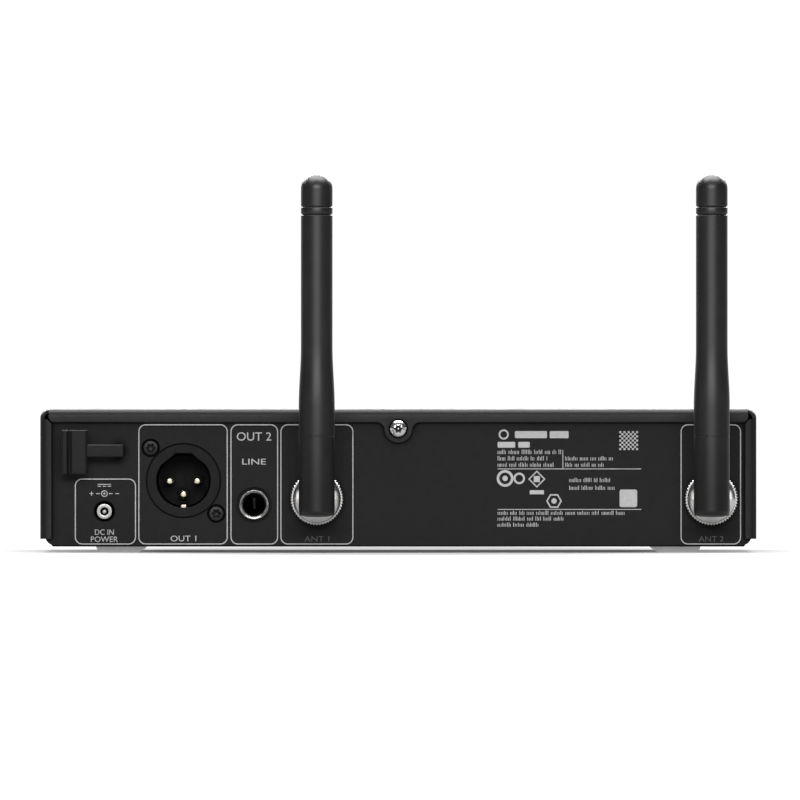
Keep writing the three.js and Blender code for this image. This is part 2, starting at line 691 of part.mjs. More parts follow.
const mainBoard = () => block([-98, 98], [-58, 84], [MAIN_BOARD_Z, MAIN_BOARD_Z + BOARD]);

function tunerShield(x) {
  const floor = MAIN_BOARD_Z + BOARD + GAP;
  const can = block([x - 18, x + 18], [12, 50], [floor, floor + 6]);
  return cut(can, block([x - 17.4, x + 17.4], [12.6, 49.4], [floor - 1, floor + 5.4]));
}

// The ribbon from the back of the front board down to the main board.
function flatCable() {
  const start = new THREE.Vector2(FRONT_BOARD_Y + BOARD + GAP, 18);
  const end = new THREE.Vector2(-46, MAIN_BOARD_Z + BOARD + 0.35);
  const path = new THREE.CubicBezierCurve(
    start,
    new THREE.Vector2(start.x + 14, start.y),
    new THREE.Vector2(end.x - 16, end.y),
    end,
  );
  const steps = 8;
  const [upper, lower] = [[], []];
  for (let i = 0; i <= steps; i++) {
    const centre = path.getPoint(i / steps);
    const along = path.getTangent(i / steps);
    const offset = new THREE.Vector2(-along.y, along.x).multiplyScalar(0.2);
    upper.push([centre.x + offset.x, centre.y + offset.y]);
    lower.unshift([centre.x - offset.x, centre.y - offset.y]);
  }
  return slab(polygon([...lower, ...upper]), "yz", 8, 32);
}

// --------------------------------------------------------------------------------------------------------
// Assembly
// --------------------------------------------------------------------------------------------------------

const receiver = new THREE.Group();

function addCase() {
  addPiece(receiver, "top_cover", topCover(), MATERIALS.coatedSteel);
  addPiece(receiver, "chassis_tray", chassisTray(), MATERIALS.coatedSteel);
  const corners = {
    foot_front_left: [-FEET.x, FEET.frontY],
    foot_front_right: [FEET.x, FEET.frontY],
    foot_rear_left: [-FEET.x, FEET.rearY],
    foot_rear_right: [FEET.x, FEET.rearY],
  };
  for (const [name, [x, y]] of Object.entries(corners)) {
    addPiece(addGroup(receiver, x, y, 0), name, foot(), MATERIALS.footRubber);
  }
  const screwSeat = addGroup(receiver, 0, REAR_FACE + SHEET + 2 * GAP, COVER.screwZ);
  addPiece(screwSeat, "cover_screw", coverScrew(), MATERIALS.nickel);
  const relief = addGroup(receiver, RELIEF.x, REAR_FACE, RELIEF.z);
  addPiece(relief, "cable_relief", cableRelief(), MATERIALS.blackPlastic);
}

function addOutputs() {
  const xlr = addGroup(receiver, XLR.x, REAR_FACE, XLR.z);
  addPiece(xlr, "xlr_shell", xlrShell(), MATERIALS.blackPlastic);
  addPiece(xlr, "xlr_insert", xlrInsert(), MATERIALS.blackPlastic);
  addPiece(xlr, "xlr_earth_tab", xlrEarthTab(), MATERIALS.nickel);
  for (const [number, [x, z]] of Object.entries(XLR_PINS)) {
    addPiece(addGroup(xlr, x, 0, z), "xlr_pin_" + number, xlrPin(), MATERIALS.gold);
  }
  for (const [name, side] of Object.entries({ upper: 1, lower: -1 })) {
    const seat = addGroup(xlr, side * XLR.screwOffset, 0, side * XLR.screwOffset);
    addPiece(seat, "xlr_screw_" + name, countersunkScrew(), MATERIALS.blackSteel);
  }
  const jack = addGroup(receiver, JACK.x, REAR_FACE, JACK.z);
  addPiece(jack, "jack_body", jackBody(), MATERIALS.blackPlastic);
  addPiece(jack, "jack_bush", jackBush(), MATERIALS.nickel);
  addPiece(jack, "jack_tip_spring", jackTipSpring(), MATERIALS.nickel);
  const dc = addGroup(receiver, DC_INPUT.x, REAR_FACE, DC_INPUT.z);
  addPiece(dc, "dc_body", dcBody(), MATERIALS.blackPlastic);
  addPiece(dc, "dc_sleeve", dcSleeve(), MATERIALS.nickel);
  addPiece(dc, "dc_pin", dcPin(), MATERIALS.nickel);
}

function addAntenna(letter, { x, z }) {
  const place = addGroup(receiver, x, REAR_FACE, z);
  addPiece(place, `antenna_socket_${letter}`, antennaSocket(), MATERIALS.nickel);
  addPiece(place, `socket_insulator_${letter}`, socketInsulator(), MATERIALS.insulator);
  addPiece(place, `socket_contact_${letter}`, socketContact(), MATERIALS.gold);
  addPiece(place, `coupling_ring_${letter}`, couplingRing(), MATERIALS.nickel);
  addPiece(place, `antenna_plug_${letter}`, antennaPlug(), MATERIALS.nickel);
  addPiece(place, `antenna_pin_${letter}`, antennaPin(), MATERIALS.gold);
  addPiece(place, `antenna_base_${letter}`, antennaBase(), MATERIALS.antennaRubber);
  addPiece(place, `antenna_rod_${letter}`, antennaRod(), MATERIALS.antennaRubber);
  addPiece(place, `antenna_wire_${letter}`, radiator(), MATERIALS.copper);
}

function addFront() {
  const front = addGroup(receiver, 0, FRONT_FACE, 0);
  addPiece(front, "front_bezel", frontBezel(), MATERIALS.bezelPlastic);
  addPiece(front, "display_window", displayWindow(), MATERIALS.windowPlastic);
  addPiece(front, "display_module", displayModule(), MATERIALS.displayPanel);
  addPiece(front, "status_light_pipe", statusLightPipe(), MATERIALS.lightPipe);
  for (const [name, key] of Object.entries(BUTTONS)) {
    addPiece(front, name + "_button", button(key), MATERIALS.keyPlastic);
    addPiece(front, name + "_switch", keySwitch(key), MATERIALS.blackPlastic);
  }
  const jog = addGroup(front, JOG.x, 0, CONTROL_Z);
  addPiece(jog, "jog_dial", jogDial(), MATERIALS.keyPlastic);
  addPiece(jog, "jog_shaft", jogShaft(), MATERIALS.nickel);
  addPiece(jog, "jog_plunger", jogPlunger(), MATERIALS.insulator);
  addPiece(jog, "jog_encoder", encoderBody(), MATERIALS.blackPlastic);
}

function addInside() {
  addPiece(receiver, "front_board", frontBoard(), MATERIALS.board);
  addPiece(receiver, "main_board", mainBoard(), MATERIALS.board);
  addPiece(receiver, "tuner_shield_a", tunerShield(24), MATERIALS.shield);
  addPiece(receiver, "tuner_shield_b", tunerShield(-76), MATERIALS.shield);
  addPiece(receiver, "flat_cable", flatCable(), MATERIALS.cable);
}

addCase();
addOutputs();
for (const [letter, socket] of Object.entries(ANTENNA_SOCKETS)) addAntenna(letter, socket);
addFront();
addInside();

const frontmost = FRONT_FACE - JOG.proud;
const rearmost = REAR_FACE + ANTENNA.elbowY + ANTENNA.baseRadius;
receiver.position.set(0, -(frontmost + rearmost) / 2, FEET.height);

export default receiver;
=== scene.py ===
"""Looks for the wireless receiver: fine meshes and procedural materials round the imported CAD.

Shapes are drawn in millimetres from the middle of the case's underside, and are moved and scaled
into the frame when a piece is finished. The rear panel faces +Y, so a viewer behind the unit sees
+X on the left.
"""

import json
import random
from math import atan2, cos, degrees, dist, pi, radians, sin, sqrt, tan

import bmesh
import bpy
from mathutils import Matrix, Vector

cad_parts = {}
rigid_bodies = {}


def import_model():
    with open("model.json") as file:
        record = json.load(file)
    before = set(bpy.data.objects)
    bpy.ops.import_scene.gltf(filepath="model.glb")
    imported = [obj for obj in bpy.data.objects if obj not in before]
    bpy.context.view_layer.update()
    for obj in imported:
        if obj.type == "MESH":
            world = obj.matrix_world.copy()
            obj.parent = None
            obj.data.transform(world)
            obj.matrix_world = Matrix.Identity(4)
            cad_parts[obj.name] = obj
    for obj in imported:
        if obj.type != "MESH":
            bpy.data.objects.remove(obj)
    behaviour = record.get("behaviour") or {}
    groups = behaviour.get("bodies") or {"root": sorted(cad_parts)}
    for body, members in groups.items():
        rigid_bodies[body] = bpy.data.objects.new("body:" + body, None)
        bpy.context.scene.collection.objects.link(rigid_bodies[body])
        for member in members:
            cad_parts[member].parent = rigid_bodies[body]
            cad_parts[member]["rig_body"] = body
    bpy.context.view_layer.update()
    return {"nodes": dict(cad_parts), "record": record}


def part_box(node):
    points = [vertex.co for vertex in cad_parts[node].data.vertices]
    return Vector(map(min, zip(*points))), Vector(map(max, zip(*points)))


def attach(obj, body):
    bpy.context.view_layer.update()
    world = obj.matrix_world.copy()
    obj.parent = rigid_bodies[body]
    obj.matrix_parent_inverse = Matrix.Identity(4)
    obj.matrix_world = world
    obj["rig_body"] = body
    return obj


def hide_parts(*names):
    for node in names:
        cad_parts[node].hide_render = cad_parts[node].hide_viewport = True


MM = 0.001
MICRON = 0.000001
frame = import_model()
scene = bpy.context.scene

SLOTS = {part["node"]: part["material_slot"] for part in frame["record"]["subparts"]}
REAR = 87.5  # the rear panel's outer face
tray_low, tray_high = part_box("chassis_tray")
# where the middle of the case's underside is in the frame
CASE_ORIGIN = Vector((0, tray_high.y / MM - REAR, tray_low.z / MM))


def box(node):
    """A CAD node's lowest and highest corners, in the case's millimetres."""
    low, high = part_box(node)
    return low / MM - CASE_ORIGIN, high / MM - CASE_ORIGIN


def centre(node):
    low, high = box(node)
    return (low + high) / 2


EDGE = 0.12  # broken edge of cut sheet
SHEET = box("top_cover")[1].y - REAR - 0.1  # thickness of the folded steel
PANEL_BACK = REAR - SHEET
BEHIND = PANEL_BACK - 0.1  # front faces of the parts that stand behind the panel
FRONT = box("front_bezel")[0].y  # the bezel's front face
HALF_WIDTH = box("top_cover")[1].x
XLR = centre("xlr_shell")
XLR_SCREWS = {node: centre(node) for node in ("xlr_screw_upper", "xlr_screw_lower")}
JACK = centre("jack_bush")
DC_INPUT = centre("dc_pin")
SCREW = centre("cover_screw")
SOCKETS = {letter: centre("coupling_ring_" + letter) for letter in "ab"}


# ---------------- Outlines: lists of (u, v) points ----------------


def arc(cu, cv, radius, start, end, steps=12):
    """Points on an arc, with its angles in degrees."""
    points = []
    for i in range(steps + 1):
        angle = radians(start + (end - start) * i / steps)
        points.append((cu + radius * cos(angle), cv + radius * sin(angle)))
    return points


def circle(radius, segments, cu, cv):
    return arc(cu, cv, radius, 0, 360, segments)[:-1]


def quarter(steps):
    """Angles from 0 to 90 degrees, in radians."""
    return [radians(90 * i / steps) for i in range(steps + 1)]


def fillet(points, closed=True, steps=6):
    """Rounds the corners that carry a radius as a third value."""
    made = []
    for i, (u, v, *rest) in enumerate(points):
        at, radius = Vector((u, v)), rest[0] if rest else 0
        if not radius or not closed and i in (0, len(points) - 1):
            made.append(tuple(at))
            continue
        to_last = (Vector(points[i - 1][:2]) - at).normalized()
        to_next = (Vector(points[(i + 1) % len(points)][:2]) - at).normalized()
        half = to_last.angle(to_next) / 2
        middle = at + (to_last + to_next).normalized() * radius / sin(half)
        first, last = (at + way * radius / tan(half) - middle for way in (to_last, to_next))
        sweep = first.angle_signed(last)
        turns = [Matrix.Rotation(-sweep * k / steps, 2) for k in range(steps + 1)]
        made += [tuple(middle + turn @ first) for turn in turns]
    return made


def rectangle(u0, u1, v0, v1, radius=0, steps=6):
    limits = [(u0, v0, radius), (u1, v0, radius), (u1, v1, radius), (u0, v1, radius)]
    return fillet(limits, steps=steps)


def grown(points, distance):
    """The anticlockwise outline moved outwards by a distance, or inwards if it is negative."""
    made = []
    points = [Vector(point) for point in points]
    for last, at, after in zip(points[-1:] + points[:-1], points, points[1:] + points[:1]):
        edges = (at - last).normalized(), (after - at).normalized()
        normal, other = (Vector((edge.y, -edge.x)) for edge in edges)
        bisector = (normal + other).normalized()
        # the limit keeps a very sharp corner from shooting out
        made.append(tuple(at + bisector * distance / max(bisector.dot(normal), 0.3)))
    return made


def anticlockwise(points):
    """The outline's points in anticlockwise order, without repeats."""
    lasts = points[-1:] + points[:-1]
    points = [at for last, at in zip(lasts, points) if dist(last, at) > 1e-6]
    area = sum(a[0] * b[1] - b[0] * a[1] for a, b in zip(points, points[1:] + points[:1]))
    return points if area > 0 else points[::-1]


# ---------------- Solids: temporary objects, in millimetres ----------------

PLANES = {
    "xz": lambda u, v, w: (u, w, v),
    "xy": lambda u, v, w: (u, v, w),
    "yz": lambda u, v, w: (w, u, v),
}
ORIGIN = (0, 0, 0)


def added(data, name="solid"):
    """A new object in the scene."""
    made = bpy.data.objects.new(name, data)
    scene.collection.objects.link(made)
    return made


def assigned(target, **settings):
    for key, value in settings.items():
        setattr(target, key, value)
    return target


def reshaped(mesh, change):
    """Runs a change on a mesh's bmesh."""
    bm = bmesh.new()
    bm.from_mesh(mesh)
    change(bm)
    bm.to_mesh(mesh)
    bm.free()
    return mesh


def loft(rings, closed=False):
    """A solid through rings of points. A ring of one point is a pole. A closed loft joins its last
    ring to its first, and any other has caps."""

    def build(bm):
        rows = [[bm.verts.new(point) for point in ring] for ring in rings]
        for near, far in zip(rows, rows[1:] + rows[:1] if closed else rows[1:]):
            count = max(len(near), len(far))
            for i in range(count):
                j = (i + 1) % count
                near_side = [near[i % len(near)], near[j % len(near)]]
                far_side = [far[j % len(far)], far[i % len(far)]]
                bm.faces.new(list(dict.fromkeys(near_side + far_side)))
        for row in (rows[0], rows[-1]):
            if len(row) > 1 and not closed:
                bm.faces.new(row)
        bmesh.ops.recalc_face_normals(bm, faces=bm.faces)

    return added(reshaped(bpy.data.meshes.new("solid"), build))


def stacked(outline, levels, plane="xz"):
    """A solid through (level, spread) pairs: the outline, grown by the spread, at each level."""
    points, place = anticlockwise(outline), PLANES[plane]
    rings = [(level, grown(points, spread)) for level, spread in levels]
    return loft([[place(u, v, level) for u, v in ring] for level, ring in rings])


def rounding(end, radius, base=0.0, steps=5):
    """(level, inset) pairs that round a far end."""
    start = end - radius
    return [(start + radius * sin(a), base + radius * (1 - cos(a))) for a in quarter(steps)]


def slab(outline, start, end, edge=0.0, steps=3, plane="xz"):
    """An outline given thickness across a plane. Both rims are rounded by the edge radius."""
    rim = rounding(0, edge, steps=steps) if edge else [(0, 0)]
    levels = [(start - level, -inset) for level, inset in reversed(rim)]
    levels += [(end + level, -inset) for level, inset in rim]
    return stacked(outline, levels, plane)


def block(x, y, z, edge=0.0):
    """A box between pairs of limits, with rounded edges."""
    return slab(rectangle(*x, *z, 1.25 * edge), *y, edge)


def channel(outline_at, levels):
    """A solid along Y through (y, inset) levels of an outline that depends on its inset."""
    return loft([[(u, y, v) for u, v in outline_at(inset)] for y, inset in levels])


def flared(outline, start, face):
    """A cutting tool along Y whose outline opens out by the broken edge at the face."""
    opening = [(start, 0), (face - 0.28, 0), (face - 0.1, 0.1), (face, 0.3), (face + 1, 0.3)]
    return stacked(outline, opening)


def turned(profile, at=ORIGIN, segments=96, axis="y", wave=None):
    """A turned solid from (radius, height) points: a ring if the last one is off the axis. Only the
    place across the axis counts. The wave takes an angle and gives a change in radius, which is
    scaled by a point's third value."""
    x, y, z = at
    rings = []
    for radius, height, *share in profile:
        ring = []
        for i in range(segments if radius > 1e-6 else 1):
            angle = 2 * pi * i / segments
            r = radius + (wave(angle) * share[0] if wave and share else 0)
            u, v = r * cos(angle), r * sin(angle)
            ring.append((x + u, height, z + v) if axis == "y" else (x + u, y + v, height))
        rings.append(ring)
    return loft(rings, len(rings[-1]) > 1)


def lathe(profile, at, steps=6, segments=96, axis="y"):
    """A turned solid whose profile has rounded corners."""
    return turned(fillet(profile, profile[-1][0] > 0, steps), at, segments, axis)


def cylinder(radius, start, end, at=ORIGIN, segments=96, axis="y"):
    return turned([(0, start), (radius, start), (radius, end), (0, end)], at, segments, axis)


def hole(radius, start, face, chamfer=0.15, at=ORIGIN, segments=96):
    """A cutting tool for a hole whose mouth, at the face, is chamfered. It runs past the face."""
    profile = [(0, start), (radius, start), (radius, face - chamfer)]
    profile += [(radius + 2 * chamfer, face + chamfer), (0, face + chamfer)]
    return turned(profile, at, segments)


def evaluated(target):
    """The mesh that an object's modifiers, or its text, make."""
    graph = bpy.context.evaluated_depsgraph_get()
    return bpy.data.meshes.new_from_object(target.evaluated_get(graph))


def bake(target):
    """Swaps an object's mesh for the one that its modifiers make."""
    target.data = evaluated(target)
    target.modifiers.clear()
    return target


def gathered(solids):
    """Several separate solids as one object."""

    def gather(bm):
        for one in solids:
            bm.from_mesh(one.data)
            bpy.data.objects.remove(one)

    return added(reshaped(bpy.data.meshes.new("solids"), gather))


def joined(target, *tools, operation="UNION"):
    for tool in tools:
        modifier = target.modifiers.new("combine", "BOOLEAN")
        assigned(modifier, operation=operation, solver="EXACT", object=tool)
    bake(target)
    for tool in tools:
        bpy.data.objects.remove(tool)
    return target


def cut(target, *tools):
    return joined(target, *tools, operation="DIFFERENCE")


def softened(target, width):
    """Rounds every edge that is sharper than 35 degrees."""
    limit = {"limit_method": "ANGLE", "angle_limit": radians(35)}
    assigned(target.modifiers.new("soften", "BEVEL"), width=width, segments=2, **limit)
    return bake(target)


def placed(target, x, y, z, turn=0, axis="Z"):
    """Turns a solid about one of the origin's axes, by an angle in degrees, and then moves it."""
    rotation = Matrix.Rotation(radians(turn), 4, axis)
    target.data.transform(Matrix.Translation((x, y, z)) @ rotation)
    return target


def piece(target, name, material, node=None, smooth_angle=35):
    """Finishes a solid: to metres, shaded and coloured. It stands for a CAD node, and takes that
    node's body. Without a node it is print on the case."""

    def clean(bm):
        bmesh.ops.remove_doubles(bm, verts=bm.verts, dist=1e-4)
        bmesh.ops.dissolve_degenerate(bm, edges=bm.edges, dist=1e-4)

    mesh = reshaped(target.data, clean)
    mesh.transform(Matrix.Scale(MM, 4) @ Matrix.Translation(CASE_ORIGIN))
    mesh.shade_smooth()
    mesh.set_sharp_from_angle(angle=radians(smooth_angle))
    target.modifiers.new("even_shading", "WEIGHTED_NORMAL").keep_sharp = True
    mesh.materials.clear()
    mesh.materials.append(material)
    target.name = mesh.name = name
    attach(target, frame["nodes"][node]["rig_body"] if node else "case")
    if node:
        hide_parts(node)


# ---------------- Materials ----------------


class Nodes:
    """The node tree of a material or a world, under construction."""

    def __init__(self, owner):
        owner.use_nodes = True
        self.tree = owner.node_tree

    def feed(self, name, inputs):
        """Gives each of a node's inputs a value, or another node's output."""
        target = self.tree.nodes[name]
        for key, value in inputs.items():
            if isinstance(value, bpy.types.NodeSocket):
                self.tree.links.new(value, target.inputs[key])
            else:
                target.inputs[key].default_value = value

    def node(self, kind, output, inputs, **settings):
        """An output of a new node."""
        made = assigned(self.tree.nodes.new("ShaderNode" + kind), **settings)
        self.feed(made.name, inputs)
        return made.outputs[output]

    def span(self, source, low, high, start=0.3, end=0.7):
        """Stretches a value's start-to-end range over low to high."""
        limits = {"From Min": start, "From Max": end, "To Min": low, "To Max": high}
        return self.node("MapRange", "Result", {"Value": source, **limits})

    def product(self, a, b):
        return self.node("Math", 0, {0: a, 1: b}, operation="MULTIPLY")

    def split(self, vector, axis):
        return self.node("SeparateXYZ", axis, {0: vector})

    def camera_rays(self):
        return self.node("LightPath", "Is Camera Ray", {})


class Look(Nodes):
    """A Principled material. Every texture runs on object coordinates, which are in metres."""

    def __init__(self, name, **inputs):
        self.material = bpy.data.materials.new(name)
        super().__init__(self.material)
        self.surface(**inputs)
        self.place = self.node("TexCoord", "Object", {})
        self.normal = None

    def surface(self, **inputs):
        named = {key.replace("_", " "): value for key, value in inputs.items()}
        self.feed("Principled BSDF", named)

    def stretched(self, scale):
        return self.node("Mapping", 0, {"Scale": scale, "Vector": self.place})

    def noise(self, scale, detail, seed=0.0, place=None):
        inputs = {"Scale": scale, "Detail": detail, "W": seed, "Vector": place or self.place}
        return self.node("TexNoise", "Fac", inputs, noise_dimensions="4D")

    def bands(self, direction, scale, distortion=0.0):
        inputs = {"Scale": scale, "Distortion": distortion, "Vector": self.place}
        return self.node("TexWave", "Fac", inputs, wave_type="BANDS", bands_direction=direction)

    def colours(self, source, dark, light, start=0.3, end=0.7):
        made = self.node("ValToRGB", "Color", {"Fac": source})
        stops = made.node.color_ramp.elements
        for stop, position, colour in zip(stops, (start, end), (dark, light)):
            stop.position = position
            stop.color = (*colour, 1)
        return made

    def paint(self, source):
        self.surface(Base_Color=source)

    def gloss(self, source, low, high):
        self.surface(Roughness=self.span(source, low, high))

    def bump(self, source, strength, height):
        """Adds relief of a height in microns on top of any relief that is there."""
        inputs = {"Strength": strength, "Distance": height * MICRON, "Height": source}
        if self.normal:
            inputs["Normal"] = self.normal
        self.normal = self.node("Bump", "Normal", inputs)
        self.surface(Normal=self.normal)

    def worn_edges(self, colour, worn):
        """Mixes a paler colour in along a quarter of a millimetre beside edges, broken by noise."""
        normal = self.node("NewGeometry", "Normal", {})
        rounded = self.node("Bevel", "Normal", {"Radius": 0.25 * MM}, samples=4)
        turn = self.node("VectorMath", "Value", {0: normal, 1: rounded}, operation="DOT_PRODUCT")
        patches = self.span(self.noise(900, 4, 7.0), 0, 1, 0.4, 0.6)
        mask = self.product(self.span(turn, 1, 0, 0.75, 0.97), patches)
        inputs = {"Factor": mask, "A": colour, "B": (*worn, 1)}
        return self.node("Mix", "Result", inputs, data_type="RGBA")

    def openness(self, distance):
        """1 in the open, towards 0 in corners and gaps narrower than the distance."""
        return self.node("AmbientOcclusion", "AO", {"Distance": distance * MM}, samples=6)

    def shaded(self, colour, openness, darkest, start, end):
        """Paints shade into a colour where its surface isn't open: darker in corners and gaps."""
        inputs = {"Factor": 1, "A": colour, "B": self.span(openness, darkest, 1, start, end)}
        return self.node("Mix", "Result", inputs, data_type="RGBA", blend_type="MULTIPLY")


def grey(level):
    return (level, level, level)


def powder_coat(name, level, shine):
    look = Look(name, IOR=1.45)
    colour = look.colours(look.noise(45, 6), grey(level * 0.93), grey(level * 1.07))
    # painted shade: ambient occlusion darkens the coat's colour and cuts its specular level where
    # it lies close beside another piece
    openness = look.openness(2.5)
    look.surface(Specular_IOR_Level=look.span(openness, 0.1 * shine, shine, 0.45, 0.95))
    shaded = look.shaded(colour, openness, 0.15, 0.45, 0.95)
    look.paint(look.worn_edges(shaded, grey(level * 2)))
    look.gloss(look.noise(500, 3, 2.0), 0.42, 0.52)
    cells = {"Scale": 2600, "Smoothness": 0.6, "Vector": look.place}
    look.bump(look.node("TexVoronoi", "Distance", cells, feature="SMOOTH_F1"), 0.3, 20)
    look.bump(look.noise(900, 3), 0.2, 20)
    return look.material


def antenna_skin():
    look = Look("antenna_skin", IOR=1.5)
    # painted shade: the skin's specular level falls lower down, towards the coupling ring, so the
    # rods read darker there
    shine = look.span(look.split(look.place, "Z"), 0.28, 0.56, 0.018, 0.05)
    # painted shade: ambient occlusion also cuts the specular level in the grooves and crevices
    openness = look.span(look.openness(0.6), 0.1, 1, 0.4, 0.8)
    look.surface(Specular_IOR_Level=look.product(shine, openness))
    colour = look.colours(look.noise(160, 5), grey(0.007), grey(0.01))
    look.paint(look.worn_edges(colour, grey(0.02)))
    look.gloss(look.noise(260, 4, 1.0), 0.36, 0.44)
    look.bump(look.noise(2200, 2), 0.3, 10)
    # faint lengthwise drag marks from the moulding
    look.bump(look.noise(1500, 2, place=look.stretched((1, 1, 0.03))), 0.25, 12)
    return look.material


def plain_look(name, colour, gloss, relief, **inputs):
    """Noise in the colour (scale, detail, dark, light), in the roughness (scale, detail, seed, low,
    high) and in the relief (scale, detail, strength, height in microns)."""
    look = Look(name, **inputs)
    look.paint(look.colours(look.noise(*colour[:2]), *colour[2:]))
    look.gloss(look.noise(*gloss[:3]), *gloss[3:])
    look.bump(look.noise(*relief[:2]), *relief[2:])
    return look.material


def moulded_plastic(name, level, roughness, shine=0.5, grain=3200):
    colour = (90, 4, grey(level * 0.85), grey(level * 1.15))
    gloss = (400, 3, 3.0, roughness - 0.05, roughness + 0.06)
    inputs = {"IOR": 1.46, "Specular_IOR_Level": shine}
    return plain_look(name, colour, gloss, (grain, 2, 0.5, 12), **inputs)


def printed_ink(name, level):
    colour = (1200, 4, grey(level * 0.85), grey(level))
    return plain_look(name, colour, (900, 3, 0.0, 0.5, 0.7), (3000, 2, 0.2, 10), IOR=1.45)


def plated_metal(name, dark, light, rough_low, rough_high):
    look = Look(name, Metallic=1.0)
    colour = look.colours(look.noise(260, 5), dark, light)
    # painted shade: ambient occlusion darkens the plating in recesses and beside other pieces
    look.paint(look.shaded(colour, look.openness(1.2), 0.1, 0.3, 0.85))
    look.gloss(look.noise(520, 4, 4.0), rough_low, rough_high)
    look.bump(look.noise(1400, 2, place=look.stretched((1, 0.3, 1))), 0.1, 2)
    return look.material


def brushed_tin():
    look = Look("brushed_tin", Metallic=1.0)
    grain = look.noise(1800, 3, place=look.stretched((0.03, 1, 1)))
    look.paint(look.colours(grain, grey(0.42), grey(0.58)))
    look.gloss(grain, 0.28, 0.45)
    look.bump(grain, 0.3, 8)
    return look.material


def banded(name, ior, bands, colours, gloss, relief):
    """Bands of colour and relief: tracks under solder mask, or the wires of a ribbon cable."""
    look = Look(name, IOR=ior)
    source = look.bands(*bands)
    look.paint(look.colours(source, *colours))
    look.gloss(look.noise(*gloss[:2]), *gloss[2:])
    look.bump(source, *relief)
    return look.material


COAT = powder_coat("cover_coat", 0.0095, 0.25)
# painted shade: the tray and rear panel take a darker, less shiny copy of the cover's coat
SHADED_TRAY_COAT = powder_coat("shaded_tray_coat", 0.0075, 0.15)
BEZEL_PLASTIC = moulded_plastic("bezel_plastic", 0.014, 0.52)
BLACK_PLASTIC = moulded_plastic("black_plastic", 0.007, 0.5, 0.2)
SHELL_PLASTIC = moulded_plastic("shell_plastic", 0.007, 0.55, 0.15)
# painted shade: a darker copy of the black plastic, for the insert deep in the XLR cup and the DC
# socket's body
SHADED_CUP_PLASTIC = moulded_plastic("shaded_cup_plastic", 0.004, 0.6, 0.15)
KEY_PLASTIC = moulded_plastic("key_plastic", 0.028, 0.5, grain=2400)
WHITE_PLASTIC = moulded_plastic("insulator_plastic", 0.62, 0.42)
SKIN = antenna_skin()
RUBBER = ((300, 5, grey(0.68), grey(0.78)), (800, 3, 0.0, 0.6, 0.8), (1800, 4, 0.5, 30))
# painted light: a faint white glow makes the feet read as lit in the gap under the case
PAINTED_FOOT_GLOW = {"Emission_Color": (1, 1, 1, 1), "Emission_Strength": 0.1}
FOOT = plain_look("foot_rubber", *RUBBER, IOR=1.45, **PAINTED_FOOT_GLOW)
NICKEL = plated_metal("nickel", (0.58, 0.57, 0.56), (0.7, 0.69, 0.68), 0.2, 0.28)
# painted shade: a darker, rougher copy of the nickel, for the DC socket's sleeve and pin
DULL_SHADED_NICKEL = plated_metal("dull_shaded_nickel", (0.3, 0.3, 0.29), (0.38, 0.38, 0.37), 0.28, 0.4)
GOLD = plated_metal("gold_flash", (0.8, 0.72, 0.5), (0.92, 0.86, 0.66), 0.22, 0.34)
COPPER = plated_metal("copper", (0.62, 0.3, 0.17), (0.75, 0.42, 0.26), 0.3, 0.45)
DARK_STEEL = plated_metal("dark_steel", grey(0.02), grey(0.035), 0.38, 0.52)
TIN = brushed_tin()
SOLDER_MASK = ((0.006, 0.07, 0.03), (0.012, 0.13, 0.05), 0.45, 0.55)
BOARD = banded(
    "circuit_board", 1.5, ("DIAGONAL", 220, 6), SOLDER_MASK, (300, 3, 0.25, 0.4), (0.3, 30)
)
RIBBON = banded(
    "ribbon", 1.45, ("X", 125), (grey(0.4), grey(0.55)), (500, 3, 0.45, 0.6), (0.6, 150)
)
INK = printed_ink("printed_ink", 0.5)
# painted shadow: a dark copy of the ink, for the antenna labels, which lie in the antennas' shade
SHADOWED_INK = printed_ink("shadowed_ink", 0.09)
ACRYLIC = ((60, 2, grey(0.0015), grey(0.0025)), (700, 5, 0.0, 0.04, 0.09), (400, 2, 0.02, 4))
WINDOW = plain_look("window_acrylic", *ACRYLIC, IOR=1.49, Specular_IOR_Level=0.35)
MILK = (500, 3, (0.62, 0.66, 0.68), (0.75, 0.78, 0.8)), (600, 3, 0.0, 0.2, 0.35), (1500, 2, 0.1, 10)
MILKY = plain_look("milky_plastic", *MILK, IOR=1.49, Transmission_Weight=0.35)


# ---------------- Case ----------------

FLANGE_WIDTH = 3.5  # the cover's side flanges at the rear
FLANGE_BOTTOM = 36.4  # lower edge of the flange along the top
TOP_BEND = 2.8  # outer radius of the cover's bends
REAR_BEND = 2.3
TAB_RADIUS = 4.25  # the cover's screw tab
TAB_FILLET = 2.2
EAR_HOLES = (9, 31)  # heights of the holes for a rack ear's screws
EAR_HOLE_Y = -66
PANEL_CORNER = 2.05  # height of the cut across the rear panel's lower corners
PANEL_SHOULDER = 36.6  # the same at its upper corners
PANEL_DROP = 0.3  # the rear panel's fold hangs this much below the tray's floor
PANEL_FOLD = 0.5  # outer radius where the floor turns up into the panel
TRAY_BEND = 3.0
TRAY_WALL = 14.0  # height of the tray's side walls
FOOT_RIM = 2.2  # width of a foot's rounded rim


def cover_window():
    """The opening between the rear flanges, with the screw tab hanging into it from above."""
    half = HALF_WIDTH - FLANGE_WIDTH
    fillet_z = FLANGE_BOTTOM - TAB_FILLET
    drop = fillet_z - SCREW.z
    reach = sqrt((TAB_RADIUS + TAB_FILLET) ** 2 - drop**2)
    tilt = degrees(atan2(-drop, reach))
    outline = [(-half, 0), (half, 0), (half, FLANGE_BOTTOM)]
    outline += arc(reach, fillet_z, TAB_FILLET, 90, 180 - tilt)
    outline += arc(0, SCREW.z, TAB_RADIUS, -tilt, -180 + tilt, 24)
    outline += arc(-reach, fillet_z, TAB_FILLET, tilt, 90)
    return outline + [(-half, FLANGE_BOTTOM)]


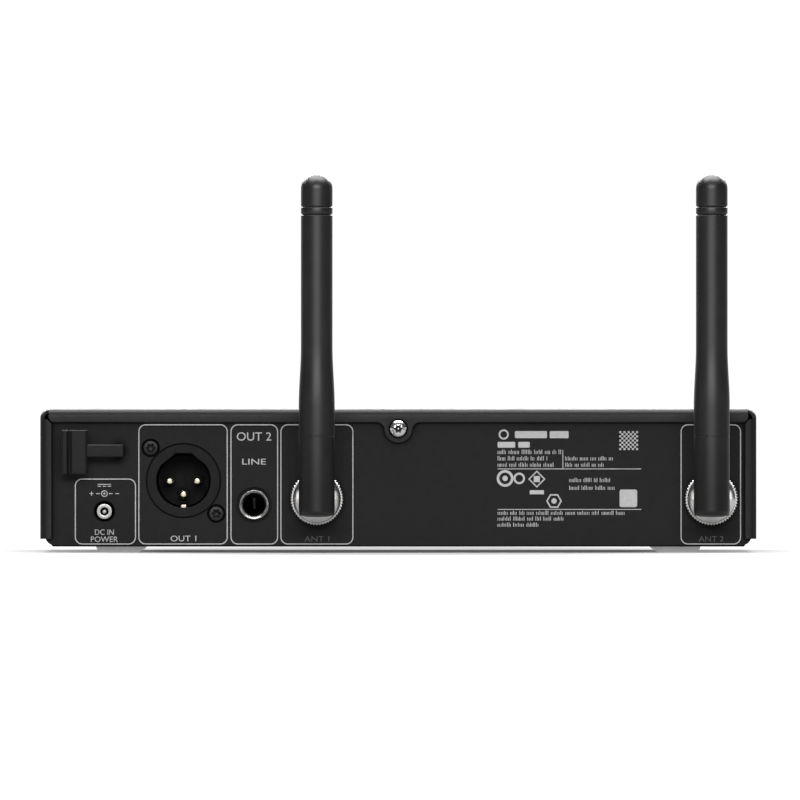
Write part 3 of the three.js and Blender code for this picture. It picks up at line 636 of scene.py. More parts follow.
def corner_relief(side):
    """The notch and mitre slit between the top flange and a side flange."""
    notch = [(-1, 37.4), (2.0, 37.4, 0.3), (3.5, 35.9), (3.95, 36.2), (2.5, 37.65, 0.4)]
    notch += [(2.5, 42), (-1, 42)]
    return fillet([(side * (HALF_WIDTH - u), v, *radius) for u, v, *radius in notch], steps=3)


def ear_hole(side, height):
    tool = hole(1.7, 0, 3, 0.2, segments=40)
    return placed(tool, side * (HALF_WIDTH - 3), EAR_HOLE_Y, height, -90 * side)


def top_cover():
    low, high = box("top_cover")

    def outline(inset):
        half, top, radius = high.x - inset, high.z - inset, TOP_BEND - inset
        corners = [(-half, -5), (half, -5), (half, top, radius), (-half, top, radius)]
        return fillet(corners, steps=10)

    outside = [(low.y, EDGE), (low.y + EDGE, 0), *rounding(high.y, REAR_BEND)]
    inside = [(low.y - 1, SHEET), *rounding(high.y - SHEET, 0.2, SHEET, 2)]
    sheet = cut(channel(outline, outside), channel(outline, inside))
    face = high.y
    below = block((-high.x - 1, high.x + 1), (low.y - 1, face + 1), (-8, low.z))
    sheet = cut(sheet, flared(cover_window(), face - SHEET - 0.4, face), below)
    reliefs = [slab(corner_relief(side), face - SHEET, face + 1) for side in (-1, 1)]
    well = [(0, face - 3), (1.6, face - 3), (1.6, face - 0.75), (2.72, face - 0.7)]
    well += [(2.78, face - 0.1), (2.98, face + 0.1), (0, face + 0.1)]
    sheet = cut(sheet, *reliefs, turned(well, (0, 0, SCREW.z)))
    for side in (-1, 1):
        sheet = cut(sheet, gathered([ear_hole(side, height) for height in EAR_HOLES]))
    piece(sheet, "cover_sheet", COAT, "top_cover")


def rear_panel():
    """The upright part of the tray, with its holes."""
    low, high = box("chassis_tray")
    half = high.x - 0.2
    lower = high.x - 2.3
    outline = [(-lower, -PANEL_DROP), (lower, -PANEL_DROP), (half, PANEL_CORNER)]
    outline += [(half, PANEL_SHOULDER), (lower - 0.6, high.z), (0.6 - lower, high.z)]
    outline += [(-half, PANEL_SHOULDER), (-half, PANEL_CORNER)]
    plate = slab(outline, PANEL_BACK, REAR, EDGE)
    start = PANEL_BACK - 1
    holes = [(11.08, XLR), (5.05, JACK), (3.15, DC_INPUT), (1.3, SCREW)]
    holes += [(5.0, at) for at in SOCKETS.values()]
    tools = [hole(radius, start, REAR, at=at) for radius, at in holes]
    sink = [(0, start), (1.3, start), (1.3, PANEL_BACK), (2.55, REAR - 0.8), (2.8, REAR + 0.1)]
    sink.append((0, REAR + 0.1))
    tools += [turned(sink, at) for at in XLR_SCREWS.values()]
    return cut(plate, *tools)


def chassis_tray():
    low, high = box("chassis_tray")

    def folded(top, inset):
        half, bend = high.x - inset, TRAY_BEND - inset
        return fillet([(-half, top), (-half, inset, bend), (half, inset, bend), (half, top)])

    outside = slab(folded(TRAY_WALL, 0), low.y, PANEL_BACK + 0.02)
    inside = slab(folded(TRAY_WALL + 6, SHEET), low.y - 1, REAR)
    floor = cut(outside, inside)
    for side in (-1, 1):
        floor = cut(floor, ear_hole(side, EAR_HOLES[0]))
    places = [(x, y, 0) for x in (-85, 85) for y in (-45, 60)]
    studs = [cylinder(3, SHEET - 0.3, 4.5, at, 48, "z") for at in places]
    tray = joined(floor, rear_panel(), *studs)
    y, z = REAR - PANEL_FOLD, PANEL_FOLD - PANEL_DROP  # the fold's centre
    spare = [(REAR + 1, -1), (y, -1), *arc(y, z, PANEL_FOLD, -90, 0, 6), (REAR + 1, z)]
    tray = cut(tray, slab(spare, -high.x - 1, high.x + 1, plane="yz"))
    piece(tray, "tray_and_rear_panel", SHADED_TRAY_COAT, "chassis_tray")


def feet():
    for node in [name for name in SLOTS if name.startswith("foot_")]:
        low, high = box(node)
        height, radius = high.z - low.z, (high.x - low.x) / 2
        sole = radius - FOOT_RIM
        dome = [(sole + FOOT_RIM * sin(a), high.z - height * cos(a)) for a in quarter(10)]
        pad = turned([(0, low.z), *dome, (0, high.z)], centre(node), axis="z")
        piece(pad, node + "_pad", FOOT, node)


def lobed_drive(radius, floor_y, mouth_y, at):
    """A cutting tool for a six-lobe recess that narrows to a cone at its bottom."""
    wide = []
    for i in range(72):
        angle = 2 * pi * i / 72
        r = radius * (1 + 0.17 * cos(6 * angle))
        wide.append((r * cos(angle), r * sin(angle)))
    rings = [[(0, floor_y - 0.3 * radius, 0)]]
    for y, share in ((floor_y, 0.82), (mouth_y, 1.0)):
        rings.append([(u * share, y, v * share) for u, v in wide])
    return placed(loft(rings), at.x, 0, at.z)


def cover_screw():
    low, high = box("cover_screw")
    seat = high.y - 1.6
    profile = [(0, low.y), (1.0, low.y), (1.2, low.y + 0.3), (1.2, seat - 0.6)]
    profile += [(2.5, seat - 0.6, 0.1), (2.5, seat + 0.6, 0.5), (1.9, seat + 1.45, 2.0)]
    profile.append((0, seat + 1.6))
    drive = lobed_drive(1.2, seat - 0.2, seat + 2, SCREW)
    slot = block((-3, 3), (seat + 0.8, seat + 2), (-0.35, 0.35))
    slot = placed(slot, SCREW.x, 0, SCREW.z, 4, "Y")
    head = softened(cut(lathe(profile, SCREW), drive, slot), 0.05)
    pip = [(0, seat - 1.2), (0.36, seat - 1.2), (0.36, seat + 0.9, 0.2), (0, seat + 0.9)]
    head = joined(head, lathe(pip, SCREW, 4, 32))
    piece(head, "cover_screw_head", NICKEL, "cover_screw")


def cable_relief():
    low, high = box("cable_relief")
    face = high.y - 1.6  # the hook's outer face, below its raised lip
    back = face - 2.5
    middle = (low.z + high.z) / 2
    bar_z = (26.2, 29.9)
    leg = slab(rectangle(low.x, low.x + 2.7, *bar_z, 0.4), REAR + 0.1, face - 0.3)
    bar = block((low.x, low.x + 11), (back, face), bar_z, 0.4)
    section = [(low.x + 10.5, back, 0.4), (high.x, back, 0.6), (high.x, high.y, 0.7)]
    section += [(high.x - 1.7, high.y, 0.6), (high.x - 2.4, face - 0.1, 0.2)]
    section += [(high.x - 3.2, face + 0.35, 0.5), (low.x + 10.5, face + 0.35, 1.1)]
    head = slab(fillet(section, steps=5), low.z, high.z, 0.4, plane="xy")
    peg = cylinder(1.2, REAR - 2.2, REAR + 0.5, (low.x + 1.35, 0, sum(bar_z) / 2), 40)
    rib_z = (middle - 0.6, middle + 0.6)
    rib = block((low.x + 4, low.x + 10.8), (back - 1.2, back + 0.3), rib_z, 0.2)
    hook = joined(head, bar, leg, peg, rib)
    piece(hook, "cable_relief_hook", BLACK_PLASTIC, "cable_relief")


# ---------------- Rear connectors ----------------

CUP_RADIUS = 8.0  # bore of a male XLR
PIN_BORE = 1.25
JACK_BORE = 3.2
SOCKET_BORE = 4.1


def xlr_cup_outline():
    """The cup's bore: round, with a slight flat on each shoulder beside the key. Its points lie
    between the angles of the nose's points, so that the cut leaves no slivers."""
    points = []
    for i in range(144):
        angle = 2 * pi * (i + 0.5) / 144
        flats = [0.965 / max(cos(angle - radians(at)), 0.5) for at in (52, 128)]
        r = CUP_RADIUS * min(1, *flats)
        points.append((XLR.x + r * cos(angle), XLR.z + r * sin(angle)))
    return points


def xlr_shell():
    x, z = XLR.x, XLR.z
    low, high = box("xlr_shell")
    face = high.y
    flange = slab(rectangle(low.x, high.x, low.z, high.z, 2.2), BEHIND - 1.5, BEHIND, 0.15)
    profile = [(0, low.y), (10.2, low.y, 0.3), (10.2, BEHIND - 1), (10.8, BEHIND - 1)]
    profile += [(10.76, face, 0.2), (0, face)]
    nose = lathe(profile, XLR, 4, 144)
    bosses = [cylinder(2.4, REAR - 7, BEHIND - 1, at, 48) for at in XLR_SCREWS.values()]
    shell = joined(flange, nose, *bosses)
    mouth = [(low.y - 1, 0), (face - 0.2, 0), (face + 0.1, 0.3), (face + 1, 0.3)]
    cup = stacked(xlr_cup_outline(), mouth)
    key = block((x - 2.95, x + 2.95), (REAR - 12, face + 1), (z + 6.5, z + 8.25), 0.5)
    tab_slot = block((x - 1.05, x + 1.05), (low.y - 1, REAR - 3.8), (z - 9, z - 7))
    holes = [cylinder(1.35, REAR - 9, face + 1, at, 40) for at in XLR_SCREWS.values()]
    shell = cut(shell, cup, key, tab_slot, *holes)
    piece(shell, "xlr_shell_moulding", SHELL_PLASTIC, "xlr_shell")


def xlr_insert():
    x, z = XLR.x, XLR.z
    low, high = box("xlr_insert")
    back, front = low.y, high.y
    pins = [centre(f"xlr_pin_{number}") for number in (1, 2, 3)]
    core = lathe([(0, back), (7.7, back), (7.7, front, 0.3), (0, front)], XLR)
    collar = [(0, front - 1), (1.9, front - 1), (1.9, front + 0.3, 0.3), (0, front + 0.3)]
    collars = [lathe(collar, at, segments=64) for at in pins]
    bores = [cylinder(PIN_BORE, back - 1, front + 2, at, 48) for at in pins]
    tab_gap = block((x - 1.05, x + 1.05), (back - 1, front + 2), (z - 10, z - 6.8))
    core = cut(joined(core, *collars), gathered(bores), tab_gap)
    piece(core, "xlr_insert_moulding", SHADED_CUP_PLASTIC, "xlr_insert")


def xlr_contacts():
    for number in (1, 2, 3):
        node = f"xlr_pin_{number}"
        low, high = box(node)
        profile = [(0, low.y), (0.8, low.y, 0.1), (0.8, low.y + 2.5), (1.17, low.y + 2.5)]
        profile += [(1.17, high.y - 0.9, 0.3), (0.9, high.y - 0.15, 0.7), (0, high.y)]
        piece(lathe(profile, centre(node), 5, 64), f"xlr_contact_{number}", GOLD, node)
    low, high = box("xlr_earth_tab")
    tab = block((low.x, high.x), (low.y, high.y), (low.z, high.z), 0.2)
    piece(tab, "xlr_earth_blade", GOLD, "xlr_earth_tab")


def xlr_screws():
    for node, at in XLR_SCREWS.items():
        low, high = box(node)
        profile = [(0, low.y), (1.0, low.y), (1.15, low.y + 0.3), (1.15, high.y - 1.05)]
        profile += [(2.2, high.y - 0.02, 0.08), (0, high.y)]
        drive = lobed_drive(1.3, high.y - 1.6, high.y + 1, at)
        head = softened(cut(lathe(profile, at, 3, 72), drive), 0.03)
        piece(head, node + "_head", DARK_STEEL, node)


def jack_connector():
    low, high = box("jack_bush")
    outer, bore, face = 4.35, JACK_BORE, high.y
    profile = [(bore, low.y), (outer, low.y), (outer, face - 0.1, 0.2), (outer - 0.1, face, 0.1)]
    profile += [(outer - 0.25, face, 0.1), (bore + 0.35, face - 0.6, 0.3)]
    profile.append((bore, face - 1.3, 0.4))
    piece(lathe(profile, JACK, 5, 128), "jack_bush_ring", NICKEL, "jack_bush")
    low, high = box("jack_tip_spring")
    tip = high.z - 0.6  # where the leaf turns back, nearest the bore's mouth
    end = high.y
    path = [(low.y, tip + 0.1), (end - 1.5, tip + 0.1), (end - 2.2, low.z), (end - 1.7, low.z)]
    path += [(end, tip - 0.2, 0.3), (end, tip + 0.6, 0.3), (low.y, tip + 0.6)]
    leaf = slab(fillet(path, steps=4), low.x, high.x, plane="yz")
    piece(softened(leaf, 0.04), "jack_contact_leaf", WHITE_PLASTIC, "jack_tip_spring")


def dc_connector():
    low, high = box("dc_sleeve")
    profile = [(1.2, low.y), (2.28, low.y), (2.28, high.y, 0.12), (1.2, high.y, 0.1)]
    piece(lathe(profile, DC_INPUT, 4), "dc_sleeve_tube", DULL_SHADED_NICKEL, "dc_sleeve")
    low, high = box("dc_pin")
    profile = [(0, low.y), (0.83, low.y), (0.83, high.y - 0.3, 0.3), (0.45, high.y, 0.1)]
    profile.append((0, high.y))
    piece(lathe(profile, DC_INPUT, 5, 64), "dc_centre_pin", DULL_SHADED_NICKEL, "dc_pin")


def antenna_socket(letter):
    node = "antenna_socket_" + letter
    at = SOCKETS[letter]
    low, high = box(node)
    body = block((low.x, high.x), (low.y, BEHIND), (low.z, high.z), 0.3)
    profile = [(0, BEHIND - 1), (4.8, BEHIND - 1), (4.8, high.y, 0.25), (0, high.y)]
    # one bar across the barrel makes both bayonet studs
    studs = placed(cylinder(1.0, -5.6, 5.6, segments=48), at.x, REAR + 5.7, at.z, 90)
    bore = hole(SOCKET_BORE, REAR + 1, high.y, 0.2, at)
    inner = cylinder(2.45, low.y - 1, REAR + 2, at, 64)
    socket = cut(joined(body, lathe(profile, at, 4), studs), bore, inner)
    piece(socket, node + "_metal", NICKEL, node)


# ---------------- Antennas ----------------

ROD_RADIUS = 4.68  # above the taper
ROD_DOME = 4.4  # height of the rod's rounded end
ROD_BORE = 3.3


def knurl(angle, teeth=54, depth=0.38):
    """Depth of a fine triangular tooth below its crest."""
    phase = (angle * teeth / (2 * pi)) % 1
    return -depth * abs(2 * phase - 1)


def coupling_ring(letter):
    node = "coupling_ring_" + letter
    start = box(node)[0].y
    # radius, distance from the ring's inner end, share of the knurl
    profile = [(5.0, 0.15), (5.15, 0), (7.2, 0), (7.5, 0.12, 0.4), (7.8, 0.3, 0.9), (7.95, 0.5, 1)]
    profile += [(7.95, 1.8, 1), (7.95, 3.05, 1), (7.75, 3.3, 0.8), (7.4, 3.5, 0.3), (7.05, 3.62)]
    profile += [(6.85, 3.75), (6.8, 3.95), (6.9, 4.15), (7.05, 4.3), (7.12, 4.55), (7.1, 7.6)]
    profile += [(7.02, 8.1), (6.85, 8.5), (6.5, 9.0), (6.0, 9.55), (5.5, 10.0), (5.0, 10.4)]
    profile += [(4.7, 10.6), (4.4, 10.75), (3.95, 10.75), (3.8, 10.6), (3.8, 10.1), (3.9, 10)]
    profile.append((5.0, 10))
    levels = [(r, start + s, *share) for r, s, *share in profile]
    ring = turned(levels, SOCKETS[letter], 324, wave=knurl)
    piece(ring, node + "_knurled", NICKEL, node, smooth_angle=28)


def antenna_rod(letter):
    node = "antenna_rod_" + letter
    low, high = box(node)
    axis = centre(node)
    wide = (high.x - low.x) / 2
    taper, taper_height = low.z + 9, 17.5
    profile = [(ROD_BORE, low.z), (wide - 0.1, low.z), (wide, low.z + 0.1), (wide, taper)]
    for i in range(1, 21):
        t = i / 20
        ease = t * t * (3 - 2 * t)
        profile.append((wide + (ROD_RADIUS - wide) * ease, taper + taper_height * t))
    for groove in (high.z - 12.0, high.z - 9.7):
        for offset in range(-8, 9):
            depth = 0.3 * cos(pi * offset / 16) ** 2
            profile.append((ROD_RADIUS - depth, groove + offset * 0.045))
    for i, angle in enumerate(quarter(16)):
        radius = ROD_RADIUS * cos(angle) ** 0.92 if i < 16 else 0
        profile.append((radius, high.z - ROD_DOME + ROD_DOME * sin(angle)))
    rod = turned(profile, axis, 128, "z")
    rod = cut(rod, cylinder(ROD_BORE, low.z - 1, high.z - 14, axis, 64, "z"))
    piece(rod, node + "_skin", SKIN, node)


def antenna_base(letter):
    node = "antenna_base_" + letter
    low, high = box(node)
    axis = centre(node)
    socket = SOCKETS[letter].z
    radius = (high.x - low.x) / 2
    parting = box("antenna_rod_" + letter)[0].z - 0.01
    profile = [(0, low.z), (radius - 2.2, low.z + 0.1, 2.0), (radius - 0.35, low.z + 0.55, 0.5)]
    profile += [(radius, low.z + 1.6, 1.0), (radius, parting, 0.1), (3.1, parting)]
    profile += [(3.1, high.z, 0.3), (0, high.z)]
    base = lathe(profile, axis, 8, 128, "z")
    neck = cylinder(3.75, REAR + 10, REAR + 15.2, (axis.x, 0, socket), 72)
    pin_way = cylinder(1.3, REAR + 10, axis.y, (axis.x, 0, socket), 40)
    wire_way = cylinder(1.3, socket - 0.5, high.z + 1, axis, 40, "z")
    piece(cut(base, neck, pin_way, wire_way), node + "_skin", SKIN, node)


# ---------------- Front ----------------

BEZEL_WALL = 2.5
BEZEL_DEPTH = 10.4
WINDOW_CORNER = 1.9
BUTTON_CORNERS = {"escape": 2.0, "sync": 2.0, "power": 4.4}
FLANGE = 1.0  # a button's flange is this much wider than its cap


def around(node, margin, radius, steps=8):
    """A rounded outline round a CAD node, as seen from the front."""
    low, high = box(node)
    limits = (low.x - margin, high.x + margin, low.z - margin, high.z + margin)
    return rectangle(*limits, radius + margin, steps)


def window(margin, radius):
    return around("display_window", margin, radius)


def status_lights():
    """Places of the two light pipe heads."""
    at = centre("status_light_pipe")
    return [(at.x, 0, at.z - 5), (at.x, 0, at.z + 5)]


def bezel():
    low, high = box("front_bezel")

    def outline(inset):
        limits = (low.x + inset, high.x - inset, low.z + inset, high.z - inset)
        return rectangle(*limits, 3.2 - inset, 10)

    rim = [(FRONT - level, inset) for level, inset in reversed(rounding(0, 1.6, steps=8))]
    end = FRONT + BEZEL_DEPTH
    shell = channel(outline, [*rim, (end - EDGE, 0), (end, EDGE)])
    inner = rectangle(low.x + 2.8, high.x - 2.8, 2.8, 37.7, 1.5)
    hollow = slab(inner, FRONT + BEZEL_WALL, high.y + 1)
    tongues = [block((-98, 98), (end - 0.5, high.y), (z, z + 1.6), 0.2) for z in (1.3, 37.6)]
    shell = joined(cut(shell, hollow), *tongues)
    recess = slab(window(0.15, WINDOW_CORNER), FRONT - 1, FRONT + 1.35)
    through = FRONT + BEZEL_WALL + 1
    opening = slab(window(-3.9, WINDOW_CORNER + 3), FRONT, through)
    tools = []
    for name, corner in BUTTON_CORNERS.items():
        way = around(name + "_button", 0.25 - FLANGE, corner + FLANGE)
        tools.append(slab(way, FRONT - 1, through))
    tools.append(cylinder(3.6, FRONT - 1, through, centre("jog_dial"), 64))
    tools += [cylinder(1.5, FRONT - 1, through, light, 48) for light in status_lights()]
    shell = cut(cut(shell, recess), opening, gathered(tools))
    groove = slab(window(1.4, 1.4), FRONT - 1, FRONT + 0.25)
    keep = slab(window(1.1, 1.4), FRONT - 2, FRONT + 1)
    shell = softened(cut(shell, cut(groove, keep)), 0.12)
    piece(shell, "bezel_moulding", BEZEL_PLASTIC, "front_bezel")


def display():
    low, high = box("display_window")
    pane = slab(window(0, WINDOW_CORNER), low.y, high.y, 0.25)
    piece(pane, "display_pane", WINDOW, "display_window")
    low, high = box("status_light_pipe")
    bar = block((low.x, high.x), (FRONT + 2.7, high.y), (low.z, high.z), 0.3)
    head = [(0, FRONT + 4), (1.4, FRONT + 4), (1.4, low.y, 0.6), (0, low.y)]
    heads = [lathe(head, light, segments=64) for light in status_lights()]
    piece(joined(bar, *heads), "status_lights", MILKY, "status_light_pipe")


def button(name, corner):
    node = name + "_button"
    low, high = box(node)
    face = low.y
    at = centre(node)
    cap = slab(around(node, -FLANGE, corner + FLANGE, 10), face, face + 4.2, 0.5, 5)
    flange = slab(around(node, 0, corner + 1), FRONT + 2.8, FRONT + 3.6)
    stem = cylinder(1.2, FRONT + 3.2, high.y, at, 48)
    dish = turned([(0, face + 0.15), (3.4, face - 0.02), (3.6, face - 1), (0, face - 1)], at)
    piece(cut(joined(cap, flange, stem), dish), node + "_cap", KEY_PLASTIC, node)


def grip(angle, ridges=60, depth=0.22):
    return -depth * (0.5 + 0.5 * cos(ridges * angle))


def jog():
    low, high = box("jog_dial")
    at = centre("jog_dial")
    radius = (high.x - low.x) / 2
    front, back = low.y, high.y
    profile = [(0, back), (radius - 0.4, back), (radius - 0.1, back - 0.15, 0.3)]
    profile += [(radius, back - 0.45, 1), (radius, front + 0.95, 1)]
    profile.append((radius - 0.12, front + 0.5, 0.5))
    profile += [(radius - 0.5, front + 0.12), (radius - 1.0, front), (radius - 1.9, front)]
    profile.append((radius - 2.2, front + 0.12))
    for i in range(1, 13):
        t = i / 12
        profile.append(((radius - 2.4) * (1 - t), front + 0.2 + 0.45 * sin(t * pi / 2)))
    dial = turned(profile, at, 360, wave=grip)
    bore = cylinder(3.1, FRONT - 2.1, back + 1, at, 64)
    dimple = [(0, front + 0.95), (1.6, front + 0.55), (2.0, front - 1), (0, front - 1)]
    dimple = turned(dimple, (at.x + 6, 0, at.z + 1.5), 64)
    piece(cut(dial, bore, dimple), "jog_dial_cap", KEY_PLASTIC, "jog_dial")


def kept_nodes():
    """Finishes for the CAD nodes that are shown as they are, by slot."""
    finishes = {"black_plastic": BLACK_PLASTIC, "display_panel": BLACK_PLASTIC, "nickel": NICKEL}
    finishes |= {"gold": GOLD, "copper": COPPER, "insulator": WHITE_PLASTIC}
    finishes |= {"circuit_board": BOARD, "shield": TIN, "cable": RIBBON}
    for name, node in frame["nodes"].items():
        if not node.hide_render:
            node.data.materials.clear()
            finish = SHADED_CUP_PLASTIC if name == "dc_body" else finishes[SLOTS[name]]
            node.data.materials.append(finish)


# ---------------- Printing on the rear panel: generic words, and strokes for small print -------

INK_BACK, INK_FACE = REAR - 0.02, REAR + 0.04
FRAME_LINE = 0.3
FRAME_BOTTOM, FRAME_TOP, FRAME_CORNER = 0.48, 35.77, 2.0
FINE_LINE = 0.22


def outline_strip(outline, width):
    """A closed line of ink along an outline."""
    points = anticlockwise(outline)
    rings = []
    for spread, y in ((-1, INK_BACK), (1, INK_BACK), (1, INK_FACE), (-1, INK_FACE)):
        rings.append([(u, y, v) for u, v in grown(points, spread * width / 2)])
    return loft(rings, closed=True)


def patch(outline):
    return slab(outline, INK_BACK, INK_FACE)


def bar(x_left, z_bottom, width, height, radius=0.0):
    """A filled bar whose left end, to someone facing the panel, is at x_left."""
    return patch(rectangle(x_left - width, x_left, z_bottom, z_bottom + height, radius, 3))


def ring(radius, x, z, line, segments=48):
    return outline_strip(circle(radius, segments, x, z), line)


def dot(radius, x, z, segments=32):
    return patch(circle(radius, segments, x, z))


def word(text, at, z, height, width):
    """A word centred on a place's x, with its foot at z. Its capitals have the height."""
    curve = bpy.data.curves.new("word", "FONT")
    thickness = INK_FACE - INK_BACK
    assigned(curve, body=text, align_x="CENTER", extrude=thickness / 2, resolution_u=4)
    source = added(curve)
    mesh = evaluated(source)
    bpy.data.objects.remove(source)
    across = [v.co.x for v in mesh.vertices]
    left, right = min(across), max(across)
    wide, tall = width / (right - left), height / max(v.co.y for v in mesh.vertices)
    for v in mesh.vertices:
        u = (v.co.x - (left + right) / 2) * wide
        v.co = (at.x - u, (INK_BACK + INK_FACE) / 2 + v.co.z, z + v.co.y * tall)

    def clean(bm):
        bmesh.ops.remove_doubles(bm, verts=bm.verts, dist=1e-5)
        bmesh.ops.recalc_face_normals(bm, faces=bm.faces)

    return added(reshaped(mesh, clean))


def small_print(x_left, z_bottom, width, height, dice):
    """Upright strokes in word-like groups, which read as small print but hold no letters."""
    strokes = []
    at = 0.0
    while at < width:
        for _ in range(dice.randint(3, 9)):
            if at > width:
                break
            tall = height * dice.choice((1.0, 0.72, 0.72))
            thick = dice.choice((0.16, 0.2))
            strokes.append(bar(x_left - at, z_bottom, thick, tall))
            at += thick + dice.choice((0.22, 0.3))
        at += 0.55
    return strokes


def frames():
    columns = [(XLR.x + 0.12, 26.15), (JACK.x - 0.07, 13.8)]
    columns += [(SOCKETS["a"].x, 21.3), (SOCKETS["b"].x + 0.1, 17.6)]
    outlines = [(x - width / 2, x + width / 2, FRAME_BOTTOM, FRAME_TOP) for x, width in columns]
    outlines.append((77.8, 95.6, FRAME_BOTTOM, 19.7))
    strips = [outline_strip(rectangle(*limits, FRAME_CORNER), FRAME_LINE) for limits in outlines]
    piece(gathered(strips), "print_frames", INK)


def polarity_symbol(x, z):
    """Plus and minus joined to a ring round a dot."""
    marks = [ring(0.85, x, z, 0.25, 32), dot(0.3, x, z, 24)]
    marks += [bar(x + at + 0.55, z - 0.12, 1.1, 0.24) for at in (-3.8, -1.9, 1.9, 3.8)]
    return marks + [bar(x + 3.8 + 0.12, z + foot, 0.24, 0.47) for foot in (0.13, -0.6)]


def labels():
    # the antenna labels take the dark ink, a painted shadow of the antennas
    shadowed_labels = [word("ANT 1", SOCKETS["a"], 1.2, 1.6, 7.4), word("ANT 2", SOCKETS["b"], 1.2, 1.6, 7.4)]
    piece(gathered(shadowed_labels), "print_antenna_labels", SHADOWED_INK)
    marks = [word("OUT 2", JACK, 31.1, 2.45, 10.2), word("LINE", JACK, 24.0, 1.7, 7.0)]
    marks += [word("OUT 1", XLR, 1.3, 1.65, 7.6), word("DC IN", DC_INPUT, 3.2, 1.6, 5.6)]
    marks += [word("POWER", DC_INPUT, 1.1, 1.6, 8.0)]
    x = DC_INPUT.x
    direct = [(2.0, 18.0, 4.0), (2.0, 17.45, 1.0), (0.5, 17.45, 1.0), (-1.0, 17.45, 1.0)]
    marks += [bar(x + start, z, width, FINE_LINE) for start, z, width in direct]
    piece(gathered(marks + polarity_symbol(x, 15.4)), "print_labels", INK)


PLATE_LEFT = -29.4  # the type plate's left edge, to someone facing the panel
PLATE_COLUMNS = (0, 20, 21.2)  # left edges of its blocks of small print, from there
CODE_LEFT = -65.4
CODE_CELLS = 9


def type_plate():
    """The block of small print: strokes for text, and rings, bars and plain shapes for marks."""
    dice = random.Random(11)
    bars = [(5.1, 31.8, 9.5, 2.1, 0.35), (15.4, 31.8, 5.6, 2.1, 0.35), (0, 29.0, 5.2, 1.7, 0.3)]
    bars += [(6.1, 29.0, 3.4, 1.7, 0.3), (0, 22.6, 42.5, FINE_LINE), (0, 10.6, 42.5, FINE_LINE)]
    bars += [(19.2, 22.9, 0.2, 5.4), (10.7, 18.8, 1.8, 1.8), (9.5, 15.2, 4.2, 1.2)]
    marks = [bar(PLATE_LEFT - start, *size) for start, *size in bars]
    rings = [(1.25, 1.8, 32.9, 0.5), (2.1, 2.2, 19.9, 0.75), (1.4, 6.4, 19.9, 0.6)]
    # four and six segments make a diamond and a hexagon
    rings += [(2.3, 11.6, 19.7, 0.35, 4), (2.1, 16.7, 13.2, 0.4, 6)]
    marks += [ring(radius, PLATE_LEFT - across, *rest) for radius, across, *rest in rings]
    marks += [dot(0.8, PLATE_LEFT - across, z) for across, z in ((2.2, 19.9), (16.7, 13.2))]
    lines = [(0, 27.1, 18.6, 1.3), (0, 25.2, 14.6, 1.3), (0, 23.3, 16.4, 1.3)]
    lines += [(1, 25.2, 14.0, 1.25), (1, 23.3, 11.4, 1.25), (2, 18.8, 12.0, 1.25)]
    lines += [(2, 16.5, 13.6, 1.25), (0, 9.1, 37.4, 1.2), (0, 7.4, 20.2, 1.2), (0, 5.6, 12.4, 1.2)]
    for column, *size in lines:
        marks += small_print(PLATE_LEFT - PLATE_COLUMNS[column], *size, dice)
    # in place of two square codes: a blank square, and an even checker that encodes nothing
    marks.append(patch(rectangle(CODE_LEFT - 5.3, CODE_LEFT - 0.1, 11.4, 16.6, 0.6)))
    cell = 5.6 / CODE_CELLS
    for i in range(0, CODE_CELLS**2, 2):
        row, column = divmod(i, CODE_CELLS)
        marks.append(bar(CODE_LEFT - column * cell, 28.3 + row * cell, cell * 0.96, cell * 0.96))
    piece(gathered(marks), "print_plate", INK)


# ---------------- Studio ----------------


def floor():
    look = Look("floor", Roughness=0.85, Emission_Color=(1, 1, 1, 1))
    look.paint(look.colours(look.noise(8, 2), grey(0.2), grey(0.21)))
    # painted light and shadow: to the camera the floor glows brighter away from the unit, so
    # that it runs into the white backdrop without a horizon; the glow's near limit is an ellipse,
    # and the dim floor inside it is a painted shadow round the unit. Only the camera sees the
    # change; to everything else the floor glows evenly.
    wide, deep, shift = 0.12, 0.33, 0.04
    inputs = {"Location": (0, shift / deep, 0), "Scale": (1 / wide, 1 / deep, 1)}
    near = look.node("Mapping", 0, {**inputs, "Vector": look.place})
    away = look.node("VectorMath", "Value", {0: near}, operation="LENGTH")
    glow = {"Factor": look.camera_rays(), "A": 0.25, "B": look.span(away, 0.1, 1.0, 0.6, 1.4)}
    look.surface(Emission_Strength=look.node("Mix", "Result", glow))
    mesh = bpy.data.meshes.new("studio_floor")
    half, level = 0.8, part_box("foot_rear_left")[0].z - 20 * MICRON
    square = [(-half, -half), (half, -half), (half, half), (-half, half)]
    mesh.from_pydata([(x, y, level) for x, y in square], [], [(0, 1, 2, 3)])
    mesh.materials.append(look.material)
    added(mesh, "studio_floor")


COUPLING_RINGS = ("coupling_ring_a_knurled", "coupling_ring_b_knurled")
LIGHTS = (  # name, place, aim, size, power, and the pieces that it reaches only, or leaves out
    ("overhead", (0, -0.1, 1.3), (0, 0, 0), (1.6, 1.2), 52, None, ()),
    ("rim", (0, -1.3, 0.9), (0, 0, 0.05), (2.2, 0.5), 66, "EXCLUDE", ("studio_floor",)),
    ("viewer", (0, 2.2, 0.68), (0, 0.1, 0.05), (1.7, 0.55), 31, "EXCLUDE", ("jack_bush_ring",)),
    ("side_-1", (-1.5, 0.9, 0.1), (0, 0.1, 0.03), (2.0, 1.4), 15, "INCLUDE", COUPLING_RINGS),
    ("side_1", (1.5, 0.9, 0.1), (0, 0.1, 0.03), (2.0, 1.4), 15, "INCLUDE", COUPLING_RINGS),
)


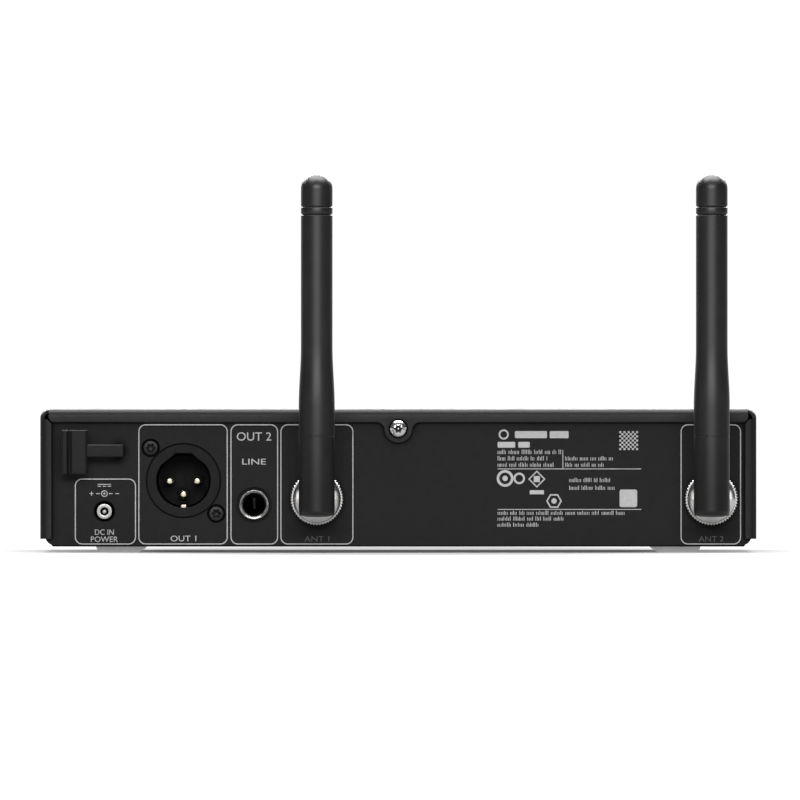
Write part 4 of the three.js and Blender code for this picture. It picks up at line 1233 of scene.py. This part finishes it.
def soft_light(name, place, aim, size, power, state, receivers):
    data = bpy.data.lights.new(name, "AREA")
    assigned(data, shape="RECTANGLE", size=size[0], size_y=size[1], energy=power)
    light = added(data, name)
    light.location = place
    towards = Vector(aim) - Vector(place)
    light.rotation_euler = towards.to_track_quat("-Z", "Y").to_euler()
    if receivers:
        chosen = bpy.data.collections.new(name + "_reach")
        for receiver in receivers:
            chosen.objects.link(bpy.data.objects[receiver])
        for entry in chosen.collection_objects:
            entry.light_linking.link_state = state
        light.light_linking.receiver_collection = chosen


def studio_world():
    """White to the camera. To everything else it is bright behind the unit and overhead, and dim
    at the viewer."""
    scene.world = bpy.data.worlds.new("studio")
    world = Nodes(scene.world)
    direction = world.node("TexCoord", "Generated", {})
    fade = world.span(world.split(direction, "Y"), 1.0, 0.08, -0.92, -0.6)
    room = world.node("Background", 0, {"Strength": fade})
    backdrop = world.node("Background", 0, {"Color": (1, 1, 1, 1), "Strength": 1.05})
    mix = world.node("MixShader", 0, {0: world.camera_rays(), 1: room, 2: backdrop})
    world.feed("World Output", {"Surface": mix})


def camera():
    """Level with the unit and straight behind it, far off behind a very long lens, so the view is
    nearly flat."""
    view_width, lens, sensor = 0.2368, 1400.0, 36.0
    data = bpy.data.cameras.new("camera")
    assigned(data, lens=lens, sensor_width=sensor, clip_start=1.0, clip_end=60.0)
    aim = (Vector((-0.5, REAR, 43.1)) + CASE_ORIGIN) * MM
    made = added(data, "camera")
    made.location = aim + Vector((0, view_width * lens / sensor, 0))
    made.rotation_euler = (aim - made.location).to_track_quat("-Z", "Y").to_euler()
    scene.camera = made


top_cover()
chassis_tray()
feet()
cover_screw()
cable_relief()
xlr_shell()
xlr_insert()
xlr_contacts()
xlr_screws()
jack_connector()
dc_connector()
for letter in "ab":
    antenna_rod(letter)
    antenna_base(letter)
    coupling_ring(letter)
    antenna_socket(letter)
bezel()
display()
for button_name, button_corner in BUTTON_CORNERS.items():
    button(button_name, button_corner)
jog()
kept_nodes()
frames()
labels()
type_plate()
floor()
studio_world()
for light in LIGHTS:
    soft_light(*light)
camera()
scene.view_settings.view_transform = "Standard"
